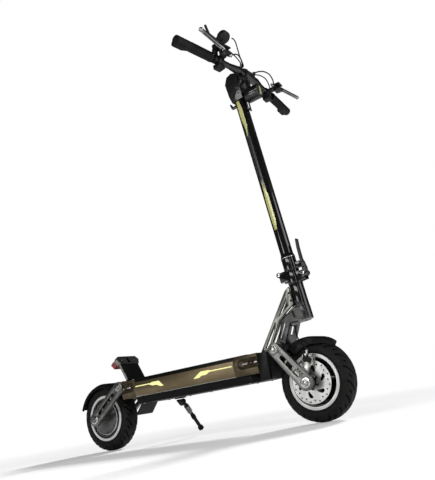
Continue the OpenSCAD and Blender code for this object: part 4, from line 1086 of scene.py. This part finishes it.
def round_axle(end, radius, turn, across):
    """A point round an axle: a radius in millimetres, a turn in degrees, and how far across."""
    around = Vector((cos(radians(turn)), 0, sin(radians(turn))))
    return axles[end] + around * radius * mm + Vector((0, across, 0))


screws("disc_bolts", "front_wheel", black_oxide,
       [(round_axle("front", 22, 60 * i + 30, -0.0485), to_right, 3.8, 3.4) for i in range(6)])

# ---- Hub motor ----
# The covers are turned aluminium, dark grey with a bright chamfer, fixed by a ring of screws.
# The stator inside is varnished copper on silicon steel.
cover_grey = surface("painted_motor_cover", "#7d7d7e", "#4b4b4c", 0.6, (0.24, 0.36), 1.5, 0.05, patch=60)
copper = surface("enamelled_copper_winding", "#b4703a", "#7a4420", 0.9, (0.25, 0.4), 1.2, 0.2, patch=8,
                 stretch=(1, 0.15, 1))


def cover_face(middle, normal):
    """The chamfer round a cover's edge is bright."""
    off = middle - axles["rear"]
    reach = hypot(off.x, off.z)
    return 1 if reach > 0.0622 and abs(normal.y) < 0.98 else 0


covers = dress("motor_covers", cover_grey, bright_lip, edge=1.8, pick=cover_face)
dome_profile = [(0, 60), (1.6, 58.5), (3.4, 52), (4.0, 50), (4.0, 30), (5.6, 27), (5.6, 21), (8, 19),
                (8.4, 17.4), (8.4, 10.8)]
dome = [turned_bar("cover_dome", dome_profile, cover_grey, axles["rear"] + Vector((0, side * 0.0321, 0)),
                   (0, side, 0), 72) for side in (-1, 1)]
dome = join(dome, "motor_cover_domes", 30)
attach(dome, "rear_wheel")
screws("motor_cover_screws", "rear_wheel", black_oxide,
       [(round_axle("rear", 55.5, 45 * i + 10, side * 0.0338), (0, side, 0), 2.6, 1.6)
        for i in range(8) for side in (-1, 1)])
dress("motor_stator", copper, edge=0)

# ---- Kickstand ----
# A black painted steel leg on a pressed bracket under the tray, with a collar, a broad foot
# and a coil spring round its upper end.
dress("kickstand_bracket", powder_black, edge=0.8)
stand_leg = dress("kickstand_leg", powder_black, edge=1.0)
stand_place = (Matrix.Translation((-0.159, 0.080, 0.141)) @ Matrix.Rotation(radians(45), 4, "X")
               @ Matrix.Rotation(radians(7), 4, "Y"))
# The spring runs down the leg's own axis, in millimetres
coils, coil_steps, coil_radius, coil_from, coil_to = 9, 8, 9.2, -24, -62
spring_points = []
for k in range(coils * coil_steps + 1):
    turn = 2 * pi * k / coil_steps
    down = coil_from + (coil_to - coil_from) * k / (coils * coil_steps)
    spot = stand_place @ (Vector((coil_radius * cos(turn), coil_radius * sin(turn), down)) * mm)
    spring_points.append(spot / mm)
spring_steel = surface("nickel_spring_steel", "#c8c8c6", "#8d8d8b", 1.0, (0.15, 0.28), 1.0, 0.01)
spring = cable("kickstand_spring", spring_points, 1.1, spring_steel)
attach(spring, "kickstand")

# ---- Stem tube and its light strips ----
# Drawn aluminium tube in gloss black. A pale yellow reflective strip runs down each side in
# two lengths with slanted ends, and a woven carbon film fills the stretch between them.
dress("stem_tube", gloss_black, edge=0.6)
tube_radius = 22 * mm
# Woven carbon film under clear lacquer: tows 2 mm wide, drawn 3 mm so that they can show
carbon, tree = new_material("carbon_weave_film")
where = add(tree, "TexCoord").outputs["Object"]
turned = add(tree, "Mapping", {"Vector": where, "Rotation": (0, 0.785, 0)}).outputs["Vector"]
weave = add(tree, "TexChecker", {"Vector": turned, "Scale": 330.0, "Color1": shade("#4b4b4a"),
                                 "Color2": shade("#151515")})
fibre = add(tree, "TexNoise", {"Vector": where, "Scale": 900.0, "Detail": 3.0})
relief = add(tree, "Bump", {"Height": fibre.outputs["Fac"], "Strength": 0.3, "Distance": 0.0001})
film = add(tree, "BsdfPrincipled", {
    "Base Color": weave.outputs["Color"], "Roughness": 0.28, "Coat Weight": 0.8, "Coat Roughness": 0.05,
    "Metallic": 0.3, "Normal": relief.outputs["Normal"]})
add(tree, "OutputMaterial", {"Surface": film.outputs["BSDF"]})
# Reflective yellow film, brighter where it faces the light
yellow_film = surface("reflective_yellow_film", "#e6e6a8", "#b9b76c", 0.1, (0.2, 0.32), 1.2, 0.01, patch=70,
                      coat=0.5)


def stem_blade(outline, thick, material, side):
    """A strip wrapped on the stem: an outline in degrees round it and millimetres up it. It
    is cut every 7 degrees, so that it bends round the tube."""
    strip = flat_sheet("strip", [(turn, 0, height) for turn, height in outline])
    open_mesh(strip)
    for turn in range(-28, 37, 7):
        bpy.ops.mesh.select_all(action="SELECT")
        bpy.ops.mesh.bisect(plane_co=(turn, 0, 0), plane_no=(1, 0, 0))
    bpy.ops.mesh.select_all(action="SELECT")
    bpy.ops.mesh.extrude_region_move(TRANSFORM_OT_translate={"value": (0, -1, 0)})
    close_mesh()
    for corner in strip.data.vertices:
        reach = tube_radius + (thick if corner.co.y < -0.5 else -0.2) * mm
        turn = radians(corner.co.x)
        corner.co = steering_axis @ Vector((reach * sin(turn), side * reach * cos(turn), corner.co.z * mm))
    open_mesh(strip)
    close_mesh(outwards=True)
    strip.data.materials.append(material)
    return strip


# From the rear edge to the front one, upwards
upper_strip = [(-24, 838), (8, 838), (20, 800), (20, 728), (4, 700), (-8, 676), (-8, 720), (-24, 760)]
lower_strip = [(-8, 500), (4, 470), (20, 440), (20, 340), (6, 304), (-20, 304), (-24, 350), (-24, 420),
               (-14, 452)]
carbon_band = [(-26, 706), (2, 690), (18, 716), (18, 452), (2, 480), (-26, 462)]
film_thick, band_thick = 0.5, 0.3
film_pieces, band_pieces = [], []
for side in (-1, 1):
    film_pieces.append(stem_blade(upper_strip, film_thick, yellow_film, side))
    film_pieces.append(stem_blade(lower_strip, film_thick, yellow_film, side))
    band_pieces.append(stem_blade(carbon_band, band_thick, carbon, side))
stem_strips = join(film_pieces, "stem_light_strips", 30)
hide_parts("stem_strips")
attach(stem_strips, "stem")
stem_band = join(band_pieces, "stem_carbon_band", 30)
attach(stem_band, "stem")
# A thin bright ring lies round the top of the stem's foot
foot_ring = turned_bar("stem_foot_ring", [(0, 25.2), (0.6, 25.5), (2.2, 25.5), (2.8, 25.2)],
                       milled_line, steering_axis @ Vector((0, 0, 0.196)), axis_up, 72)
finish_mesh(foot_ring, 30)
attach(foot_ring, "stem")

# ---- Stem head ----
# One cast block clamps the bar and the stem. It is painted black, with a grey facet behind,
# a forged hook at the rear, a loop for a bag in front, and socket screws round the clamp.
head_black = surface("painted_stem_head", "#171718", "#0b0b0c", 0.0, (0.24, 0.36), 2.2, 0.08, patch=40,
                     coat=0.4, specular=0.6)
facet_grey = surface("painted_grey_facet", "#5f5f60", "#3c3c3d", 0.2, (0.32, 0.46), 1.6, 0.06, patch=30)


def head_face(middle, normal):
    """The facet on the head's upper rear side is grey."""
    spot = axis_local @ middle
    facing = axis_local.to_3x3() @ normal
    if spot.x < -0.010 and spot.z > 0.926 and facing.z > 0.3 and abs(facing.y) < 0.5:
        return 1
    return 0


dress("stem_head", head_black, facet_grey, edge=1.6, pick=head_face)
bar_mid = Vector((0.426, 0, 1.277))
clamp_spots = []
for side in (-1, 1):
    for turn in (40, 140):
        way = Vector((cos(radians(turn)), 0, sin(radians(turn))))
        clamp_spots.append((bar_mid + Vector((0, side * 0.018, 0)) + way * 0.0215, way, 3.2, 2.6))
for up_stem in (0.868, 0.892):
    for side in (-1, 1):
        clamp_spots.append((steering_axis @ Vector((0.012, side * 0.0235, up_stem)), (0, side, 0), 3.4, 2.2))
screws("stem_head_screws", "stem", zinc, clamp_spots)
lip_profile = [(-0.6, 16.2), (-0.6, 21.2), (0.6, 21.2), (0.6, 16.2)]
clamp_lips = [turned_bar("clamp_lip", lip_profile, panel_grey, bar_mid + Vector((0, y, 0)), (0, 1, 0), 60)
              for y in (-0.0262, 0.0262)]
clamp_lips = join(clamp_lips, "clamp_lips", 30)
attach(clamp_lips, "stem")

# ---- Handlebar and grips ----
# A butted aluminium bar, gloss black. The grips are moulded rubber sleeves with a palm rest,
# fine ribs round them and an alloy lock ring at the inner end.
dress("handlebar", gloss_black, edge=0.3, smooth=30)
grip_rubber = surface("moulded_grip_rubber", "#131313", "#090909", 0.0, (0.54, 0.66), 1.6, 0.12, patch=30,
                      specular=0.25)


bar_sweep, bar_straight, bar_half = radians(6.8), 0.060, 0.370


def on_bar(side):
    """The frame of one half of the bar: x forward, y outward along the bar, z up."""
    return (Matrix.Translation(bar_mid) @ Matrix.Diagonal((1, side, 1, 1))
            @ Matrix.Translation((0, bar_straight, 0)) @ Matrix.Rotation(bar_sweep, 4, "Z"))


bar_length = (bar_half - bar_straight) / cos(bar_sweep)
grip_start = bar_length - 0.158


def grip_face(middle, normal):
    """The lock rings at the grips' inner ends are black alloy."""
    side = -1 if middle.y < 0 else 1
    spot = on_bar(side).inverted() @ middle
    return 1 if spot.y < grip_start - 0.0002 else 0


dress("grips", grip_rubber, black_anodised, edge=1.5, smooth=45, pick=grip_face)
grip_rib_count, grip_rib_pitch = 22, 0.0041
rib_profile = [(-0.9, 16.9), (-0.35, 17.55), (0.35, 17.55), (0.9, 16.9)]
bar_end_profile = [(0, 15.5), (1.0, 15.5), (2.2, 13.6), (2.2, 9), (1.4, 8.6)]
grip_ribs = []
for side in (-1, 1):
    here = on_bar(side)
    out = (here.to_3x3() @ Vector((0, 1, 0))).normalized()
    for k in range(grip_rib_count):
        place = here @ Vector((0, grip_start + 0.006 + k * grip_rib_pitch, 0))
        grip_ribs.append(turned_bar("grip_rib", rib_profile, grip_rubber, place, out, 28))
    place = here @ Vector((0, bar_length + 0.0008, 0))
    grip_ribs.append(turned_bar("bar_end", bar_end_profile, grip_rubber, place, out, 40))
grip_ribs = join(grip_ribs, "grip_ribs", 30)
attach(grip_ribs, "stem")
ring_spots = []
for side in (-1, 1):
    for way in (up, Vector((1, 0, 0))):
        place = on_bar(side) @ (Vector((0, grip_start - 0.005, 0)) + way * 0.0178)
        ring_spots.append((place, way, 2.2, 1.4))
screws("lock_ring_screws", "stem", zinc, ring_spots)

# ---- Brake levers and their perches ----
# Forged aluminium levers with a long slot and a ball at the tip, tumbled bright. The perches
# are cast, black, with a pivot screw, an adjuster and a clamp screw.
lever_alloy = surface("tumbled_forged_alloy", "#c9c9c7", "#8d8d8b", 1.0, (0.2, 0.32), 1.0, 0.03, patch=18)
perch_black = surface("cast_perch_black", "#161617", "#0b0b0c", 0.0, (0.34, 0.46), 1.6, 0.08, patch=24,
                      specular=0.4)
dress("brake_perches", perch_black, edge=1.0)
for node in ("brake_lever_right", "brake_lever_left"):
    dress(node, lever_alloy, edge=1.1)
perch_spots, adjusters = [], []
for side in (-1, 1):
    here = on_bar(side)
    facing = here.to_3x3()
    # The lever's pivot screw, the reach screw and the clamp screw
    perch_spots.append((here @ Vector((0.050, 0.130, 0.0243)), facing @ up, 4.4, 2.0))
    perch_spots.append((here @ Vector((0.012, 0.108, 0.0115)), facing @ up, 2.6, 1.6))
    perch_spots.append((here @ Vector((-0.0155, 0.108, 0.0)), facing @ Vector((-1, 0, 0)), 3.0, 2.0))
    adjusters.append(turned_bar("adjuster", [(0, 5.6), (1.2, 6.2), (6, 6.2), (7, 5.2), (9, 3.6), (15, 3.2)],
                                zinc, here @ Vector((0.037, 0.089, 0.010)), facing @ to_right, 24))
screws("perch_screws", "stem", zinc, perch_spots)
adjusters = join(adjusters, "lever_adjusters", 30)
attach(adjusters, "stem")

# ---- Throttle and display ----
# The finger throttle and the round display share one moulded housing on the right. The
# display is dark glass in a raised bezel, with a plain bar gauge and no lettering.
moulded_black = surface("moulded_black_nylon", "#1a1a1b", "#0e0e0f", 0.0, (0.36, 0.5), 1.2, 0.08, patch=20)
display_glass = surface("dark_display_glass", "#0c1014", "#07090b", 0.0, (0.04, 0.08), 5.0, 0.002, coat=1.0)
gauge_lit = surface("lit_display_segment", "#8fb7c4", "#6d98a6", 0.0, (0.3, 0.4), 1.0, 0.0)
dress("throttle_body", moulded_black, edge=1.0)
dress("throttle_trigger", moulded_black, edge=1.4)
right_half = on_bar(-1)
dial_mid, dial_lean = Vector((0.050, 0.119, 0.065)), Matrix.Rotation(radians(-35), 4, "Y")
dial_axis = dial_lean.to_3x3() @ up
dial_out = (right_half.to_3x3() @ dial_axis).normalized()
dial_front, dial_rear = [right_half @ (dial_mid + dial_axis * level) for level in (0.0066, -0.008)]
dial = [
    turned_bar("bezel", [(0, 22.9), (0.8, 22.9), (1.8, 21.9), (1.8, 20.3), (0.9, 19.9)],
               moulded_black, dial_front, dial_out, 64),
    turned_bar("glass", [(0.8, 20), (1.3, 19.2), (1.5, 12)], display_glass, dial_front, dial_out, 64),
    turned_bar("dial_back", [(0, 20), (1.2, 18), (1.2, 9), (2.4, 8)],
               moulded_black, dial_rear, -dial_out, 48),
]
dial = join(dial, "display_dial", 30)
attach(dial, "stem")
# Nine bars round the dial
mark_count, mark_turn = 9, radians(27.5)
mark_size = Matrix.Diagonal((5 * mm, 1.6 * mm, 0.5 * mm, 1))
gauge = []
for k in range(mark_count):
    mark = rounded_block(0.1, 1)
    round_dial = Matrix.Rotation(radians(200) - mark_turn * k, 4, "Z")
    mark.data.transform(right_half @ Matrix.Translation(dial_mid) @ dial_lean @ round_dial
                        @ Matrix.Translation((14 * mm, 0, 9.5 * mm)) @ mark_size)
    mark.data.materials.append(gauge_lit)
    gauge.append(mark)
gauge = join(gauge, "display_gauge", 30)
open_mesh(gauge)
close_mesh(outwards=True)
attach(gauge, "stem")
screws("throttle_screw", "stem", zinc, [(right_half @ Vector((0.047, 0.1505, 0.0462)), up, 3.2, 1.2)])

# ---- Switch pods and buttons ----
# Small moulded pods under the bar: the horn button is red and on the left, the light button
# is green and on the right. Their caps are domed ABS.
dress("switch_pods", moulded_black, edge=1.6)
button_red = surface("moulded_red_abs", "#c2231d", "#8c120e", 0.0, (0.22, 0.34), 1.5, 0.03, patch=6)
button_green = surface("moulded_green_abs", "#2c9a46", "#17672b", 0.0, (0.22, 0.34), 1.5, 0.03, patch=6)
dress("horn_button", button_red, edge=1.2)
dress("light_button", button_green, edge=1.2)
pod_spots = []
for side in (-1, 1):
    here = on_bar(side)
    for x in (-0.010, 0.006):
        pod_spots.append((here @ Vector((x, 0.1235, -0.025)), here.to_3x3() @ Vector((0, 1, 0)), 1.6, 1.0))
screws("pod_screws", "stem", black_oxide, pod_spots)

# ---- Headlight ----
# A round turned housing in gloss black hangs under the bar. A bright bar stands upright on
# its olive-tinted lens, between two dark halves.
lens_tint = surface("olive_tinted_lens", "#4c4a2c", "#2b2a18", 0.1, (0.05, 0.1), 4.0, 0.01,
                    patch=20, coat=1.0)
bar_light, tree = new_material("lit_reflector_bar")
where = add(tree, "TexCoord").outputs["Object"]
lines = add(tree, "TexWave", {"Vector": where, "Scale": 110.0, "Distortion": 0.4}, bands_direction="Z")
tone = add(tree, "MixRGB", {"Fac": lines.outputs["Fac"], "Color1": shade("#7f7c66"),
                            "Color2": shade("#b5b29c")})
lit = add(tree, "BsdfPrincipled", {"Base Color": tone.outputs["Color"], "Roughness": 0.4, "Metallic": 0.0,
                                   "Emission Color": tone.outputs["Color"], "Emission Strength": 0.12})
add(tree, "OutputMaterial", {"Surface": lit.outputs["BSDF"]})
dress("headlight_body", gloss_black, edge=1.2)
lens_place, lens_bulge, ahead = Vector((0.464, 0, 1.197)), 7.9, Vector((1, 0, 0))
lens = turned_bar("headlight_glass", [(0, 24.9), (4, 24.9), (5.0, 24.0), (6.0, 20), (7.2, 12), (7.8, 5),
                                      (lens_bulge, 0.5)], lens_tint, lens_place, ahead, 64)
finish_mesh(lens, 40)
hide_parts("headlight_lens")
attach(lens, "stem")
deselect()
bpy.ops.mesh.primitive_cube_add(size=1)
light_bar = bpy.context.object
light_bar.name = "headlight_bar"
level_cuts(light_bar, [k / 8 for k in range(-3, 4)])
close_mesh()
# The bar follows the lens and stands a little proud of it
light_bar_high, light_bar_wide, light_bar_proud, light_bar_back = 44, 12, 0.35, 2
for corner in light_bar.data.vertices:
    front = light_bar_back
    if corner.co.x > 0:
        front = lens_bulge + light_bar_proud - 3.0 * (abs(corner.co.z) * 2) ** 2
    corner.co = lens_place + Vector((front, corner.co.y * light_bar_wide, corner.co.z * light_bar_high)) * mm
light_bar.data.materials.append(bar_light)
finish_mesh(light_bar, 40)
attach(light_bar, "stem")
rims = [turned_bar("lamp_rim", [(0, 28), (0.8, 28.1), (1.4, 27.2), (1.4, 25.4), (0.2, 25.0)],
                   gloss_black, (0.4694, 0, lens_place.z), ahead, 64)]
rims += [turned_bar("lamp_groove", [(0, 28.0), (0.3, 28.35), (1.2, 28.35), (1.5, 28.0)],
                    cast_black, (x, 0, lens_place.z), ahead, 64) for x in (0.422, 0.428, 0.434)]
rims = join(rims, "headlight_rims", 30)
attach(rims, "stem")

# ---- Cables on the bar ----
# Brake cables and leads in black PVC. They arch from the controls past a clip on each side
# and go into the stem head behind the bar.
routes = (
    ("display_lead", 2.2, [
        (480, -158, 1340), (478, -140, 1344), (470, -116, 1343), (459, -92, 1336), (450, -70, 1325),
        (444, -52, 1312), (438, -42, 1303), (428, -38, 1298), (414, -36, 1296), (403, -34, 1286),
        (396, -32, 1276), (394, -29, 1270), (394, -24, 1269)]),
    ("right_brake_hose", 2.5, [
        (462, -145, 1286), (466, -130, 1294), (465, -110, 1302), (459, -88, 1306), (452, -66, 1305),
        (445, -48, 1301), (437, -34, 1299.5), (426, -30.5, 1298.5), (413, -30, 1294), (404, -30, 1284),
        (401, -29, 1279), (401, -24, 1278)]),
    ("throttle_lead", 2.2, [
        (440, -171, 1313), (441, -158, 1319), (442, -140, 1321), (444, -118, 1318), (445, -96, 1313),
        (443, -74, 1309), (440, -56, 1305), (432, -46, 1300), (420, -42, 1297), (408, -39, 1289),
        (399, -36, 1276), (393, -32, 1264), (392, -29, 1261), (392, -24, 1260)]),
    ("left_brake_hose", 2.5, [
        (462, 145, 1286), (468, 130, 1298), (468, 110, 1312), (460, 88, 1319), (451, 66, 1315),
        (444, 48, 1307), (436, 35, 1301), (425, 30.5, 1299), (412, 30, 1294), (404, 30, 1284),
        (401, 29, 1279), (401, 24, 1278)]),
    ("left_switch_lead", 2.2, [
        (431, 153, 1250), (441, 144, 1260), (450, 126, 1278), (452, 104, 1296), (447, 80, 1303),
        (441, 60, 1302), (432, 44, 1299), (419, 38, 1297), (406, 36, 1287), (397, 34, 1275),
        (394, 30, 1268), (394, 24.4, 1268)]),
)
cables = [cable(name, points, radius, jacket) for name, radius, points in routes]
for one in cables:
    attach(one, "stem")
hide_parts("bar_cables")
clip_profile = [(-3, 5.2), (-2.4, 6.0), (2.4, 6.0), (3, 5.2)]
clips = [turned_bar("cable_clip", clip_profile, moulded_black, (0.4385, side * 0.0400, 1.3020),
                    (0.55, side * -0.75, 0.25), 28) for side in (-1, 1)]
clips = join(clips, "cable_clips", 30)
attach(clips, "stem")

# ---- Close ----
# The screw head that the others were copied from is taken away.
bpy.data.objects.remove(head_master)
